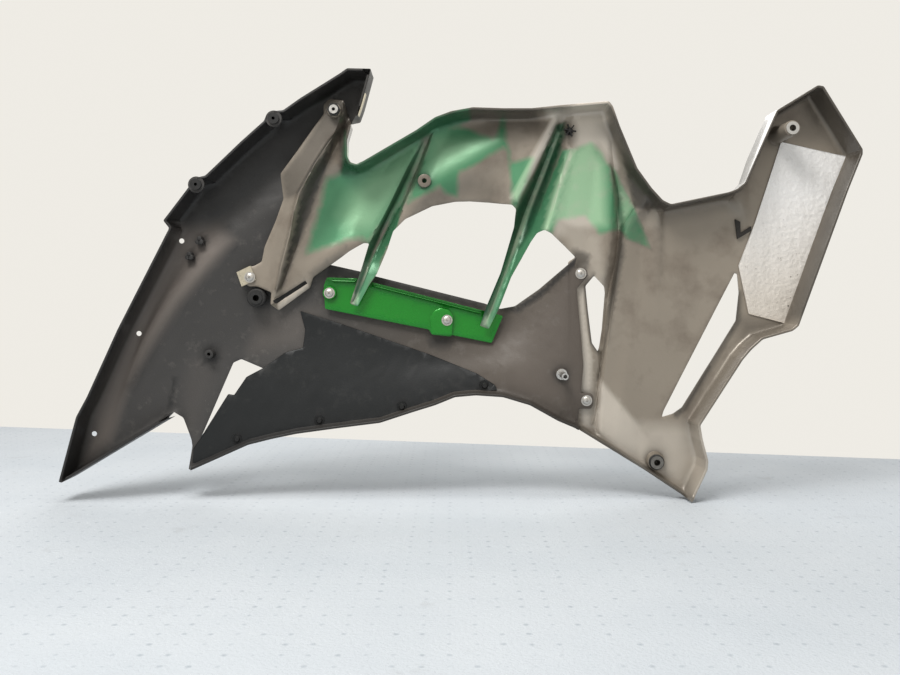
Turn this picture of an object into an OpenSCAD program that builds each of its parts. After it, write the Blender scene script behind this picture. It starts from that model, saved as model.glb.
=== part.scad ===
// Inner side of a motorcycle side fairing: a plain lower cowl, a painted upper cowl
// with two hollow fins, and the plate, sheet, foil and fasteners that they carry.
// Millimetres. X runs rearwards, Z up, Y from the rim planes out to the painted side.
// The origin is the mouth of the rear upper mounting bore.

/* [Cover] */
// Length from the front tip to the rear corner
cover_l = 805; // [740:5:880]
// Height from the lowest toe to the front peak
cover_h = 434; // [400:2:470]
// Depth of the rim walls down to the inner face of the skin
rim_depth = 30; // [26:1:36]
// Thickness of the moulded skins
wall = 2.6; // [2:0.1:3.4]
// Thickness of the rim walls
rim_wall = 2.4; // [1.8:0.1:3.2]
// Clear space between the cowls where one lies over the other
layer_gap = 1.4; // [1:0.2:3]

/* [Sheet, foil and plate] */
// Thickness of the dark cover sheet
sheet_t = 1.4; // [1:0.1:2]
// Thickness of the foil heat shield
foil_t = 0.8; // [0.6:0.1:1.4]
// Clearance behind the sheet and the foil
film_gap = 0.3; // [0.2:0.1:0.6]
// Thickness of the coloured plate
plate_t = 2.5; // [2:0.1:3]
// Height of the rolled lip along the top of the coloured plate
plate_lip = 3; // [2:0.5:5]
// Height of the pads that the plate screws sit on
pad_h = 3; // [2:0.5:4]

/* [Screws] */
// Radius of the screw threads
screw_r = 2; // [1.6:0.1:2.4]
// Radius of the domed screw heads
head_r = 4.3; // [3.8:0.1:5]
// Height of the domed screw heads
head_h = 2.6; // [2:0.2:3.4]
// Radius of the flange under each head
flange_r = 5.6; // [5.2:0.1:6.4]
// Radius of the driver recess in each head
drive_r = 1.3; // [1:0.1:1.6]
// Length of the screw shanks
screw_l = 9; // [8:0.5:12]
// Radial clearance of every screw in the piece that it passes through
screw_fit = 0.3; // [0.2:0.1:0.6]
// Radius of the posts that take the screws
post_r = 6; // [5.5:0.5:7]

/* [Mounting points] */
// Bore radius of the metal collars
bore_r = 3.2; // [2.8:0.1:3.6]
// Wall of the metal collars
collar_wall = 1.4; // [1:0.1:1.8]
// Radius of the collar flanges
collar_flange_r = 6.4; // [6:0.1:7]
// Thickness of the collar flanges
collar_flange_t = 1.2; // [1:0.1:1.6]
// Length of the collars below their flanges
collar_l = 13; // [10:1:16]
// Radius of the rear upper post
tall_post_r = 7.7; // [7.2:0.1:9]
// How far the rear upper post stands past the rim
tall_post_out = 12; // [8:1:16]
// Radius of the rubber grommets
grommet_r = 9.4; // [9:0.1:11]
// Height of the rubber grommets
grommet_h = 9; // [7:0.5:11]
// Height of the locating stud
stud_l = 30; // [24:1:34]
// Radius of the locating stud
stud_r = 3.4; // [3:0.1:4]

/* [Clips] */
// Radius of the rivet heads on the cover sheet
rivet_r = 3.2; // [2.8:0.1:4]
// Height of the rivet heads
rivet_h = 1.6; // [1.2:0.1:2.2]
// Radius of the moulded clip towers
tower_r = 4.6; // [4:0.2:5.4]
// Height of the moulded clip towers
tower_h = 10; // [8:1:12]
// Thickness of the spring steel clips
clip_t = 1; // [0.8:0.1:1.2]
// Radius of the round clips on the front edge
edge_clip_r = 5.6; // [5:0.2:6.4]
// Height of the round clips on the front edge
edge_clip_h = 2.4; // [2:0.2:3]
// Radius of the star-shaped clip
star_r = 6.5; // [5.5:0.5:7.5]
// Height of the star-shaped clip
star_h = 7; // [6:0.5:9]
// Thickness of the edge pad
pad_thick = 3; // [2:0.5:4]

/* [Hidden] */
$fn = 48;

// The drawing is set out square-on from the inner side. Its points are [right, down]
// in millimetres, as they look from eye_distance in front of eye, so a point that lies
// deeper than the rim plane is set further out from eye by at().
drawn_l = 805;
drawn_h = 434;
eye = [450, 299];
eye_distance = 900;
tiny = 0.1;
far = 110;

// Small features that keep their size
post_extra = 1;
top_post_r = post_r + post_extra;
top_nut_r = 6.8;
top_nut_h = 4;
top_bore_r = 1.7;
front_post_r = grommet_r - post_extra;
waist = 1.2;
rear_post_r = 8.6;
rear_sleeve_r = 6;
rear_head_r = 7.8;
rear_head_h = 3;
ring_r = 6.8;
ring_h = 5;
ring_bore_r = 2.4;
star_post_r = 3.4;
star_post_h = 1.5;
star_stem_r = 1.8;
stud_post_h = 1.5;
tower_lobe = 2;
tower_hole_r = 1.6;
gusset_r = 9;
pin_hole_r = 2.6;
rivet_pad_r = 5;
rivet_stem_r = 1.5;
rivet_stem_l = 7;
edge_stem_r = 2.2;
staple_h = 8;
pad_r = 7;

// Depths behind the rim plane
mouth = -tall_post_out - collar_flange_t;
lower_depth = rim_depth + wall + layer_gap;
toe_rim = rim_depth - 14;
belly_rim = rim_depth - 20;
leg_depth = rim_depth - 6;
plate_depth = lower_depth;
pad_seat = plate_depth - pad_h;
strap_seat = lower_depth - 10;
tab_depth = rim_depth - 7;
clip_seat = tab_depth - film_gap - clip_t;
clip_back = tab_depth + wall + film_gap + clip_t;
top_seat = rim_depth - 18;
front_seat = rim_depth - 12;
rear_seat = rim_depth - 8;

// Places of the mounting points and fasteners, each with the depth it is drawn at
rear_upper = [792.5, 128, -tall_post_out];
rear_lower = [656.3, 462, rear_seat];
top_point = [334, 110, top_seat];
front_point = [256, 298, front_seat];
plate_screw_at = [[329.4, 293, pad_seat], [447, 320.2, pad_seat]];
strap_screw_at = [[580.8, 273.5, strap_seat], [586.6, 400.5, strap_seat]];
clip_screw_at = [249.8, 277.3, clip_seat];
stud_at = [561.3, 374, strap_seat];
star_at = [568.7, 132, rim_depth];
ring_at = [424.5, 181.2, rim_depth];
tower_at = [[200.5, 241, rim_depth], [190.7, 256.4, rim_depth]];
gusset_at = [210, 354, rim_depth];
pin_hole_at = [[181, 240.8, rim_depth], [138.2, 333.6, rim_depth], [94.4, 433.7, rim_depth]];
rivet_at = [[236, 440, 20], [319, 421, 20], [401.7, 407, 20], [484.7, 385.8, 20]];
edge_clip_at = [[273.5, 118.5, 0], [196, 184.5, 0]];

// Edges of the upper cowl, clockwise: the rim from the front notch over the top to the
// strap, then the low edge back along the fins to the wing
upper_top = [[351, 126], [347, 140], [347, 156], [350, 162], [356, 164], [363, 161],
    [380, 151], [416, 130], [435, 117], [451, 111], [473, 107], [503, 108], [532, 108],
    [560, 105], [609, 101], [613, 106], [620, 126], [637.5, 168], [652, 188],
    [663, 200], [671, 204], [729, 192], [737, 189], [745, 182.5], [777, 110], [818, 85]];
upper_rear = [[818, 85], [824, 86], [863, 149], [863, 154], [848.6, 190], [799, 326],
    [793, 331], [763, 339.5], [751.5, 350], [743, 360], [700.5, 425.7], [703, 440],
    [708.6, 461.4], [707.7, 470.4], [695, 497], [692.5, 502.5]];
upper_toe = [[692.5, 502.5], [648, 473], [584.5, 434]];
upper_low = [[574, 426], [573, 417], [575, 388], [577, 365], [575, 334], [570, 288],
    [568, 262], [575.5, 257], [564.6, 246], [551, 233.4], [544, 230], [537.4, 232.8],
    [531, 242], [511.3, 277], [499, 308], [488.4, 329], [479.5, 325.5], [486.8, 305],
    [500.6, 272.6], [514.4, 226.6], [516, 209], [512, 205], [490.7, 202.3], [470, 201],
    [455, 201.4], [432, 206], [405, 219], [393, 231], [387, 250], [377, 274],
    [369.5, 285], [358, 306.5], [350.5, 303.5], [362, 268], [369, 243.4], [363.7, 243],
    [349.6, 251.2], [313, 277], [309.5, 287.5], [278.8, 310.5], [272, 304],
    [273, 292.5], [258.4, 286.5], [251, 286.5], [245, 283.5], [242, 276], [246, 269],
    [256, 266], [263, 262], [266, 247], [277, 222], [285, 199.7], [282, 175],
    [299, 152], [316, 128], [325, 116], [325, 106], [331, 101], [345, 103], [349, 117]];

// Windows of the upper cowl
strap_slot = [[594.2, 275.7], [585.5, 286], [588, 311], [592, 343], [598, 351.6],
    [599.6, 347], [602.5, 329], [605.5, 293], [604.5, 286.5]];
bar_slot = [[274.5, 300.5], [305, 280.5], [307, 283.5], [276.5, 304]];
rear_slot = [[737.6, 274], [739.2, 292.5], [736, 320.7], [682.3, 407.4], [673, 414],
    [662.2, 417.2], [664, 411], [735, 273]];

// Edges of the lower cowl, clockwise
belly_rear = [[579, 430.6], [575, 428.2], [558, 421], [530, 405.4], [503, 397.3]];
belly_front = [[476, 395.5], [455, 397.3], [435, 405.4], [412, 412.5], [380, 423],
    [340, 428], [296, 434], [272, 439], [248, 445], [192, 470]];
lower_leg = [[187.4, 470.6], [190.7, 447], [189.6, 440.7], [181, 419], [172.3, 412.5],
    [165.8, 419]];
lower_tip = [[165.8, 420], [62, 482.5]];
lower_front = [[58.4, 482], [75.8, 417], [86.6, 397], [117, 330], [169, 228],
    [163, 220.5], [188.5, 187], [190, 181], [196, 177.5], [205, 175.5], [215, 166],
    [240, 142], [264, 120.5], [266, 115], [273, 111], [283, 110], [300, 98],
    [340, 73], [347, 68]];
lower_peak = [[347, 68], [371, 68.5], [366, 87], [361, 105], [357, 116]];
lower_hidden = [[349, 124], [329, 152], [299, 205], [284, 256], [300, 262]];
lower_seam = [[330, 264.6], [358.6, 271], [374.6, 276], [485.4, 303.6], [500.5, 309],
    [515.7, 306.3], [540, 289], [576, 257], [574, 269.5], [580, 266.8], [586, 270],
    [587, 275.7], [575.7, 289.4], [580, 334.6], [582.7, 365], [580, 392.7],
    [590, 392.7], [592, 395], [592, 405], [590, 408], [578, 408], [577.5, 417]];
lower_window = [[232, 363], [240, 359.5], [264, 369.5], [244, 398], [204, 440],
    [200.5, 438.5]];

// Outlines of the pieces that lie on the cowls. The sheet's low edge follows the belly.
sheet_top = [[193.5, 465], [194, 448], [200.5, 438.5], [228, 394], [234, 395],
    [246, 377], [262, 368.5], [285, 352.5], [302, 348], [304, 330], [299, 311],
    [340, 324], [380, 337.7], [426.4, 353.6], [476.4, 373], [494.3, 384], [497, 389]];
foil_outline = [[780.6, 142.3], [855, 158.5], [795, 326], [748.3, 313.7],
    [738.4, 265.5], [754.8, 222.6]];
plate_outline = [[327.3, 277.5], [358.6, 278.5], [371, 282], [483.6, 310.7],
    [497, 314], [503, 316], [491.6, 343], [452, 335], [449.6, 336.5], [431.8, 334.5],
    [429, 329.5], [325, 308.8], [323.7, 285.6]];
plate_lips = [[[327.3, 277.5], [355, 278.4]], [[375.5, 283.1], [481, 310]]];
pad_outline = [[734.5, 219.5], [739.5, 222], [740, 233], [750.5, 226.5], [750.5, 231],
    [737, 239]];
pad_plate = [[431.8, 334.5], [430, 318], [434, 311], [441, 308], [449, 310],
    [453, 316], [452, 335]];
staple_path = [[364.5, 93], [361, 105], [357.6, 115]];
clip_outline = [[238.4, 272.5], [252, 266], [257.5, 280], [243.4, 286.6]];

// Lines of the upper cowl's surface from the wing to the rear, each from above the top
// edge to below the low edge. The third number is the relief: how far a point lies
// deeper than the floor.
upper_lines = [
    [[312, 90, -8], [290, 130, -8], [268, 170, -8], [268, 205, -8], [250, 250, -7],
        [240, 275, -7], [228, 310, -7]],
    [[334, 92, -10], [312, 135, -10], [290, 170, -10], [288, 205, -9],
        [272, 246, -7], [262, 278, -7], [256, 325, -7]],
    [[347, 96, -13], [331, 141, -13], [312, 170, -13], [297, 202, -13],
        [288, 244, -12], [277, 290, -10], [266, 330, -8]],
    [[356, 98, -3], [339, 141, -1], [321, 176, 0], [307, 210, 0], [297, 246, 0],
        [283, 285, -2], [268, 334, -2]],
    [[366, 110, 0], [352, 150, 1], [335, 190, 3], [320, 220, 3], [312, 246, 2],
        [303, 275, 1], [285, 330, 3]],
    [[392, 128, 0], [374, 166, 3], [357, 194, 6], [344, 218, 6], [336, 238, 3],
        [327, 260, 1], [310, 302, 13]],
    [[414, 118, 0], [394, 152, 3], [376, 184, 6], [363, 208, 5], [355, 227, 2],
        [346, 247, 0], [326, 292, 12]],
    [[437, 104, 0], [422, 143, 2], [405, 172, 3], [389, 205, 3], [371, 240, 1],
        [361, 268, -4], [344, 318, -8]],
    [[439, 105, 1], [424, 145, 5], [408, 175, 10], [391, 210, 14], [374.5, 245, 13],
        [364.5, 270, -1], [347.5, 319, -5]],
    [[442, 106, 1], [428, 146, 6], [414, 176, 12], [398, 212, 15], [379.5, 247, 14],
        [368.5, 272, -1], [353, 321, -5]],
    [[445, 107, 0], [430, 146, 2], [417.5, 175, 3], [404, 205, 3], [389, 243, 1],
        [377, 276, -4], [357, 323, -8]],
    [[458, 100, 0], [450, 128, 4], [440, 157, 1], [424, 192, -3], [412, 222, 4],
        [402, 262, 6], [392, 330, 6]],
    [[474, 98, 0], [466, 122, 4], [462, 146, 1], [459, 171, -3], [457, 203, 4],
        [452, 250, 8], [444, 330, 8]],
    [[502, 96, 0], [501, 117, 4], [501, 132, 0], [501, 147, -3], [496, 182, 2],
        [486, 240, 8], [466, 330, 8]],
    [[530, 96, 0], [526, 114, 3], [520, 134, 0], [515, 152, -1], [505, 184, 1],
        [495, 235, 2], [470, 332, 0]],
    [[563, 94, -1], [553, 118, -3], [543, 139, -4], [531, 163, -4], [513, 200, -3],
        [499, 262, -4], [474, 336, -8]],
    [[567, 95, 0], [557, 121, -1], [547, 144, -1], [536, 168, -1], [516, 209, -1],
        [501.5, 264, -4], [476, 337, -8]],
    [[570, 96, 1], [559, 125, 3], [550, 148, 9], [540, 174, 15], [523, 217, 18],
        [507, 266, 6], [480, 338, -5]],
    [[572, 97, 1], [562, 127, 4], [554, 150, 10], [545, 176, 16], [529, 218, 18],
        [512, 268, 6], [484, 339, -5]],
    [[577, 97, -1], [568, 130, -2], [566, 152, -3], [561, 176, -4], [547, 228, -4],
        [515, 276, -4], [488, 340, -8]],
    [[590, 96, 0], [582, 128, -1], [577, 152, -1], [571, 182, -1], [560, 242, 0],
        [566, 290, 0], [568, 448, 0]],
    [[603, 96, 0], [600, 130, 0], [597, 156, 1], [593, 188, 2], [586, 250, 2],
        [583, 300, 0], [585, 452, 0]],
    [[610, 96, 0], [609, 136, 0], [611, 165, 0], [612.5, 196, 0], [608, 256, 0],
        [600, 305, 1], [591, 454, 0]],
    [[612.5, 97, 1], [611.5, 138, 1], [614, 168, 4], [619, 198, 7], [616, 255, 7],
        [606, 310, 6], [593, 455, 2]],
    [[617, 98, 0], [620, 142, 0], [625, 182, -1], [632, 209, -2], [620, 255, -2],
        [603, 384, -1], [597, 457, -5]],
    [[636, 120, 0], [636, 160, 0], [640, 190, 0], [647, 216, 0], [642, 280, 1],
        [621, 405, 1], [612, 468, -6]],
    [[664, 170, 0], [664, 192, 0], [664, 212, 0], [665, 240, 0], [661, 300, 2],
        [641, 428, 1], [634, 488, -5]],
    [[700, 170, 0], [700, 190, 0], [700, 208, 0], [700, 236, 1], [695, 300, 3],
        [668, 440, 1], [660, 502, -3]],
    [[728, 168, 0], [728, 186, 0], [728, 206, 0], [727, 236, 1], [722, 290, 2],
        [706, 370, 1], [690, 520, -1]],
    [[745, 140, 0], [748, 172, 0], [750, 205, 0], [748, 240, 1], [740, 300, 1],
        [724, 375, 0], [702, 520, -2]],
    [[768, 86, 0], [773, 130, 0], [778, 165, 0], [776, 215, 2], [766, 290, 2],
        [746, 370, 0], [716, 520, -2]],
    [[815, 66, 0], [818, 105, 0], [818, 145, 1], [812, 205, 2], [796, 275, 1],
        [774, 350, 0], [734, 520, 0]],
    [[882, 62, 0], [884, 110, 0], [880, 155, 0], [864, 215, 0], [842, 285, 0],
        [818, 360, 0], [770, 520, 0]]];

// Lines of the lower cowl's surface from the front edge to the strap
lower_lines = [
    [[335, 45, -4], [284, 86, -4], [236, 126, -4], [188, 164, -4], [146, 220, -4],
        [102, 325, -4], [34, 502, -4]],
    [[346, 54, -1], [316, 118, -1], [264, 158, -3], [216, 200, -3], [170, 246, -3],
        [127, 336, -4], [56, 508, -6]],
    [[358, 52, -1], [330, 134, 0], [278, 178, 0], [234, 212, 0], [184, 260, 0],
        [138, 342, -2], [74, 509, -5]],
    [[370, 52, -1], [343, 152, 0], [290, 196, -5], [240, 235, -5], [193, 276, -5],
        [144, 350, -5], [92, 510, -5]],
    [[381, 54, -1], [355, 170, 0], [314, 216, 0], [268, 258, 0], [222, 306, 0],
        [176, 376, -2], [120, 512, -5]],
    [[392, 70, -4], [366, 186, 2], [330, 238, 4], [296, 288, 4], [256, 334, 3],
        [212, 388, 0], [160, 514, -8]],
    [[404, 110, 0], [378, 216, 8], [352, 268, 9], [330, 305, 7], [300, 346, 4],
        [262, 398, -4], [204, 514, -14]],
    [[420, 190, 8], [398, 254, 11], [385, 284, 9], [374, 316, 7], [352, 352, 3],
        [322, 402, -6], [280, 490, -17]],
    [[442, 246, 12], [438, 274, 12], [434, 297, 9], [428, 326, 7], [415, 358, 3],
        [398, 396, -7], [370, 470, -19]],
    [[494, 268, 12], [490, 288, 12], [487, 308, 9], [484, 334, 6], [479, 356, 1],
        [476, 376, -6], [466, 445, -19]],
    [[523, 264, 9], [520, 288, 9], [518, 308, 7], [515, 332, 5], [510, 354, -2],
        [505, 374, -9], [492, 440, -19]],
    [[551, 244, 0], [549, 272, 0], [547, 294, -1], [543, 324, -3], [539, 354, -6],
        [535, 383, -11], [526, 446, -18]],
    [[566, 236, -10], [566, 258, -10], [565, 282, -10], [564, 322, -10],
        [561, 362, -10], [558, 402, -12], [554, 460, -16]],
    [[570, 234, -10], [570, 256, -10], [570, 280, -10], [571, 320, -10],
        [571, 360, -10], [571, 400, -10], [571, 462, -10]],
    [[578, 234, -10], [578, 256, -10], [578, 280, -10], [578, 320, -10],
        [578, 360, -10], [578, 400, -10], [578, 462, -10]],
    [[610, 230, -10], [610, 255, -10], [610, 285, -10], [610, 325, -10],
        [610, 365, -10], [610, 410, -10], [606, 466, -10]]];

function seen(p, d) = let (k = 1 + d / eye_distance)
    [(eye.x + (p.x - eye.x) * k) * cover_l / drawn_l,
    -(eye.y + (p.y - eye.y) * k) * cover_h / drawn_h];
function at(p, d) = let (q = seen(p, d) - seen(rear_upper, rear_upper.z))
    [q.x, d - mouth, q.y];
function set_out(path, d) = [for (p = path) let (q = at(p, d)) [q.x, q.z]];

// A smooth curve through the points of a line, in steps of 1 / n between points
function spline(a, b, c, d, t) = (2 * b + (c - a) * t + (2 * a - 5 * b + 4 * c - d)
    * t * t + (3 * b - a - 3 * c + d) * t * t * t) / 2;
function smooth(line, n) = let (last = len(line) - 1) [
    for (i = [0:last - 1], j = [0:n - 1])
        spline(line[max(i - 1, 0)], line[i], line[i + 1], line[min(i + 2, last)], j / n),
    line[last]];
function surface_grid(lines, depth, n = 2) =
    [for (line = lines) smooth([for (p = line) at(p, depth + p.z)], n)];

upper_grid = surface_grid(upper_lines, rim_depth);
lower_grid = surface_grid(smooth(lower_lines, 2), lower_depth);

// How far behind the rim plane a grid's surface lies, at its nearest, within r of p
function cross_of(a, b) = a.x * b.y - a.y * b.x;
function on_triangle(q, a, b, c) = let (
    ab = [b.x - a.x, b.z - a.z],
    ac = [c.x - a.x, c.z - a.z],
    aq = [q.x - a.x, q.y - a.z],
    v = cross_of(aq, ac) / cross_of(ab, ac),
    w = cross_of(ab, aq) / cross_of(ab, ac))
    min(v, w, 1 - v - w) < -0.001 ? undef : a.y + v * (b.y - a.y) + w * (c.y - a.y);
function surface_at(grid, q) = [
    for (i = [0:len(grid) - 2], j = [0:len(grid[0]) - 2], k = [0, 1])
        let (y = on_triangle(q, grid[i][j], k == 0 ? grid[i + 1][j] : grid[i][j + 1],
            grid[i + 1][j + 1]))
            if (!is_undef(y)) y][0];
function nearest(grid, p, r) = let (q = at(p, p.z))
    min([for (a = [0:45:315]) surface_at(grid, [q.x + r * cos(a), q.z + r * sin(a)])])
    + mouth;

// The band between two offsets of a path, to its right as it runs
function unit(v) = v / norm(v);
function side(path, i) = let (
    last = len(path) - 1,
    back = unit(path[max(i, 1)] - path[max(i, 1) - 1]),
    ahead = unit(path[min(i, last - 1) + 1] - path[min(i, last - 1)]),
    m = [back.y + ahead.y, -back.x - ahead.x])
    m / max(1 + back * ahead, 0.5);
function beside(path, a) = [for (i = [0:len(path) - 1]) path[i] + side(path, i) * a];
function reversed(path) = [for (i = [len(path) - 1:-1:0]) path[i]];
function strip(path, a, b) = concat(beside(path, a), reversed(beside(path, b)));

// A flat outline drawn through the cover between two depths
module prism(outline, d0 = -40, d1 = far) {
    translate([0, d1 - mouth, 0])
        rotate([90, 0, 0])
            linear_extrude(d1 - d0)
                polygon(outline);
}

// The space between two copies of a surface, moved to depths front and back
module slab(grid, front, back) {
    n = len(grid);
    m = len(grid[0]);
    points = [for (y = [front, back], line = grid, p = line) p + [0, y, 0]];
    function f(i, j) = i * m + j;
    function b(i, j) = n * m + i * m + j;
    faces = concat(
        [for (i = [0:n - 2], j = [0:m - 2]) each [
            [f(i, j), f(i + 1, j), f(i + 1, j + 1)],
            [f(i, j), f(i + 1, j + 1), f(i, j + 1)],
            [b(i, j), b(i + 1, j + 1), b(i + 1, j)],
            [b(i, j), b(i, j + 1), b(i + 1, j + 1)]]],
        [for (i = [0:n - 2]) each [
            [f(i + 1, 0), f(i, 0), b(i, 0), b(i + 1, 0)],
            [f(i, m - 1), f(i + 1, m - 1), b(i + 1, m - 1), b(i, m - 1)]]],
        [for (j = [0:m - 2]) each [
            [f(0, j), f(0, j + 1), b(0, j + 1), b(0, j)],
            [f(n - 1, j + 1), f(n - 1, j), b(n - 1, j), b(n - 1, j + 1)]]]);
    polyhedron(points, faces);
}

// Moves a shape drawn along Z to place p, so that its Z runs out from depth d
module seated(p, d) {
    q = at(p, p.z);
    translate([q.x, d - mouth, q.z])
        rotate([-90, 0, 0])
            children();
}

// A round piece through the cover between two depths
module peg(p, r, d0, d1) {
    seated(p, d0)
        cylinder(h = d1 - d0, r = r);
}

module rim(path, d = 0, drawn = 0) {
    prism(strip(set_out(path, drawn), -rim_wall, rim_wall), d, far);
}

// Posts and rims grow from the middle of the skin that carries them
module grown(grid, middle = wall / 2) {
    difference() {
        union() children();
        slab(grid, middle, far);
    }
}

// A domed screw under whose flange lies depth seat
module screw(p, seat) {
    flange_t = head_h / 3;
    seated(p, seat)
        difference() {
            union() {
                translate([0, 0, -flange_t])
                    cylinder(h = flange_t, r = flange_r);
                rotate_extrude()
                    polygon(concat([[0, 0], [0, -head_h]], [for (a = [15:15:90])
                        [head_r * sin(a), -flange_t - (head_h - flange_t) * cos(a)]],
                        [[head_r, 0]]));
                cylinder(h = screw_l, r = screw_r);
            }
            translate([0, 0, -head_h - 1])
                cylinder(h = 1 + head_h - flange_t / 2, r = drive_r, $fn = 6);
        }
}

// A flanged metal sleeve whose tube runs from depth seat
module collar(p, seat, bore, length = collar_l, flange = collar_flange_r) {
    seated(p, seat)
        difference() {
            union() {
                translate([0, 0, -collar_flange_t])
                    cylinder(h = collar_flange_t, r = flange);
                cylinder(h = length, r = bore + collar_wall);
            }
            translate([0, 0, -collar_flange_t - 1])
                cylinder(h = length + collar_flange_t + 2, r = bore);
        }
}

module upper_cowl() {
    outline = concat(set_out(upper_top, 0), set_out(upper_rear, 0),
        set_out(upper_toe, 0), set_out(upper_low, rim_depth));
    star_seat = nearest(upper_grid, star_at, star_post_r) - star_post_h;
    color([0.55, 0.51, 0.46])
        difference() {
            intersection() {
                union() {
                    slab(upper_grid, 0, wall);
                    grown(upper_grid) {
                        rim(upper_top);
                        rim(upper_rear);
                        rim(upper_toe, toe_rim);
                        peg(rear_upper, tall_post_r, rear_upper.z, far);
                        peg(rear_lower, rear_post_r, rear_seat, far);
                        peg(top_point, top_post_r, top_seat, far);
                        peg(ring_at, ring_r, rim_depth - ring_h, far);
                        peg(star_at, star_post_r, star_seat, far);
                        for (p = strap_screw_at)
                            peg(p, post_r, strap_seat + wall, far);
                    }
                }
                prism(outline);
            }
            prism(set_out(strap_slot, rim_depth));
            prism(set_out(rear_slot, rim_depth));
            prism(set_out(bar_slot, rim_depth));
            peg(rear_upper, bore_r + collar_wall, mouth - 1, rear_upper.z + collar_l);
            peg(rear_lower, rear_sleeve_r, mouth, far);
            peg(top_point, top_bore_r + collar_wall, mouth, far);
            peg(ring_at, ring_bore_r, mouth, far);
            peg(star_at, star_stem_r, mouth, far);
            peg(clip_screw_at, screw_r + screw_fit, mouth, far);
            for (p = strap_screw_at)
                peg(p, screw_r + screw_fit, mouth, far);
        }
}

module lower_cowl() {
    outline = concat(set_out(belly_rear, belly_rim), set_out(belly_front, belly_rim),
        set_out(lower_leg, leg_depth), set_out(lower_tip, 0), set_out(lower_front, 0),
        set_out(lower_peak, 0),
        set_out(lower_hidden, rim_depth), set_out(lower_seam, rim_depth));
    color([0.25, 0.24, 0.24])
        difference() {
            intersection() {
                union() {
                    slab(lower_grid, 0, wall);
                    grown(lower_grid) {
                        rim(concat(belly_rear, belly_front), belly_rim, belly_rim);
                        rim(lower_tip);
                        rim(lower_front);
                        rim(lower_peak);
                        for (p = plate_screw_at)
                            peg(p, post_r, plate_depth + plate_t, far);
                        for (p = tower_at)
                            clip_tower(p);
                        gusset_tower();
                        peg(clip_screw_at, post_r, clip_back, far);
                        peg(front_point, front_post_r, front_seat + grommet_h, far);
                        peg(stud_at, post_r, stud_seat(), far);
                    }
                    for (p = edge_clip_at)
                        peg(p, edge_clip_r + wall, 0, wall);
                }
                prism(outline);
            }
            prism(set_out(lower_window, rim_depth));
            for (p = plate_screw_at)
                peg(p, screw_r + screw_fit, mouth, far);
            for (p = strap_screw_at)
                peg(p, screw_r + screw_fit, mouth, far);
            for (p = pin_hole_at)
                peg(p, pin_hole_r, mouth, far);
            for (p = tower_at)
                peg(p, tower_hole_r, mouth, far);
            for (p = rivet_at)
                peg(p, rivet_stem_r + screw_fit, mouth, far);
            for (p = edge_clip_at)
                peg(p, edge_stem_r + screw_fit, mouth, far);
            peg(gusset_at, tower_hole_r, mouth, far);
            peg(clip_screw_at, screw_r + screw_fit, mouth, far);
            peg(front_point, bore_r + collar_wall, mouth, far);
            peg(stud_at, stud_r, mouth, far);
        }
}

function stud_seat() = nearest(lower_grid, stud_at, post_r) - stud_post_h;
function rivet_seat(p) = nearest(lower_grid, p, rivet_pad_r) - film_gap - sheet_t;

// A three-lobed tower for a push-in clip
module clip_tower(p) {
    top = nearest(lower_grid, p, tower_r) - tower_h;
    for (a = [90, 210, 330])
        seated(p, top)
            translate([tower_lobe * cos(a), tower_lobe * sin(a), 0])
                cylinder(h = far - top, r = tower_r - tower_lobe);
}

// A tower braced by a three-cornered gusset
module gusset_tower() {
    top = nearest(lower_grid, gusset_at, tower_r) - tower_h;
    peg(gusset_at, tower_r, top, far);
    seated(gusset_at, top + tower_h / 3)
        linear_extrude(far - top)
            polygon([for (a = [90, 210, 330]) gusset_r * [cos(a), sin(a)]]);
}

module cover_sheet() {
    low_edge = beside(set_out(belly_front, belly_rim), rim_wall + film_gap);
    outline = concat(low_edge, set_out(sheet_top, rim_depth));
    color([0.17, 0.18, 0.19])
        difference() {
            intersection() {
                union() {
                    slab(lower_grid, -film_gap - sheet_t, -film_gap);
                    grown(lower_grid, -film_gap - sheet_t / 2)
                        for (p = rivet_at)
                            peg(p, rivet_pad_r, rivet_seat(p), far);
                }
                prism(outline);
            }
            for (p = rivet_at)
                peg(p, rivet_stem_r + screw_fit, mouth, far);
        }
}

module foil_shield() {
    color([0.84, 0.82, 0.79])
        difference() {
            intersection() {
                slab(upper_grid, -film_gap - foil_t, -film_gap);
                prism(set_out(foil_outline, rim_depth));
            }
            prism(strip(set_out(upper_rear, 0), -far, rim_wall + film_gap));
        }
}

module colour_plate() {
    color([0.15, 0.55, 0.2])
        difference() {
            union() {
                prism(set_out(plate_outline, plate_depth), plate_depth,
                    plate_depth + plate_t);
                for (path = plate_lips)
                    prism(strip(set_out(path, plate_depth), 0, plate_t),
                        plate_depth - plate_lip, plate_depth + plate_t);
                peg(plate_screw_at[0], pad_r, pad_seat, plate_depth + tiny);
                prism(set_out(pad_plate, plate_depth), pad_seat, plate_depth + tiny);
            }
            for (p = plate_screw_at)
                peg(p, screw_r + screw_fit, mouth, far);
        }
}

module plate_screw_front() {
    color("silver")
        screw(plate_screw_at[0], pad_seat);
}

module plate_screw_rear() {
    color("silver")
        screw(plate_screw_at[1], pad_seat);
}

module strap_screw_upper() {
    color("silver")
        screw(strap_screw_at[0], strap_seat);
}

module strap_screw_lower() {
    color("silver")
        screw(strap_screw_at[1], strap_seat);
}

// A folded spring clip over the wing's tab
module clip_nut() {
    outline = set_out(clip_outline, rim_depth);
    past = far * unit(outline[0] - outline[3]);
    color([0.78, 0.72, 0.5])
        difference() {
            prism(outline, clip_seat, clip_back);
            prism(strip([outline[3] - past, outline[0] + past], clip_t, far),
                clip_seat + clip_t, clip_back - clip_t);
            peg(clip_screw_at, screw_r + screw_fit, mouth, far);
        }
}

module clip_screw() {
    color("silver")
        screw(clip_screw_at, clip_seat);
}

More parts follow.
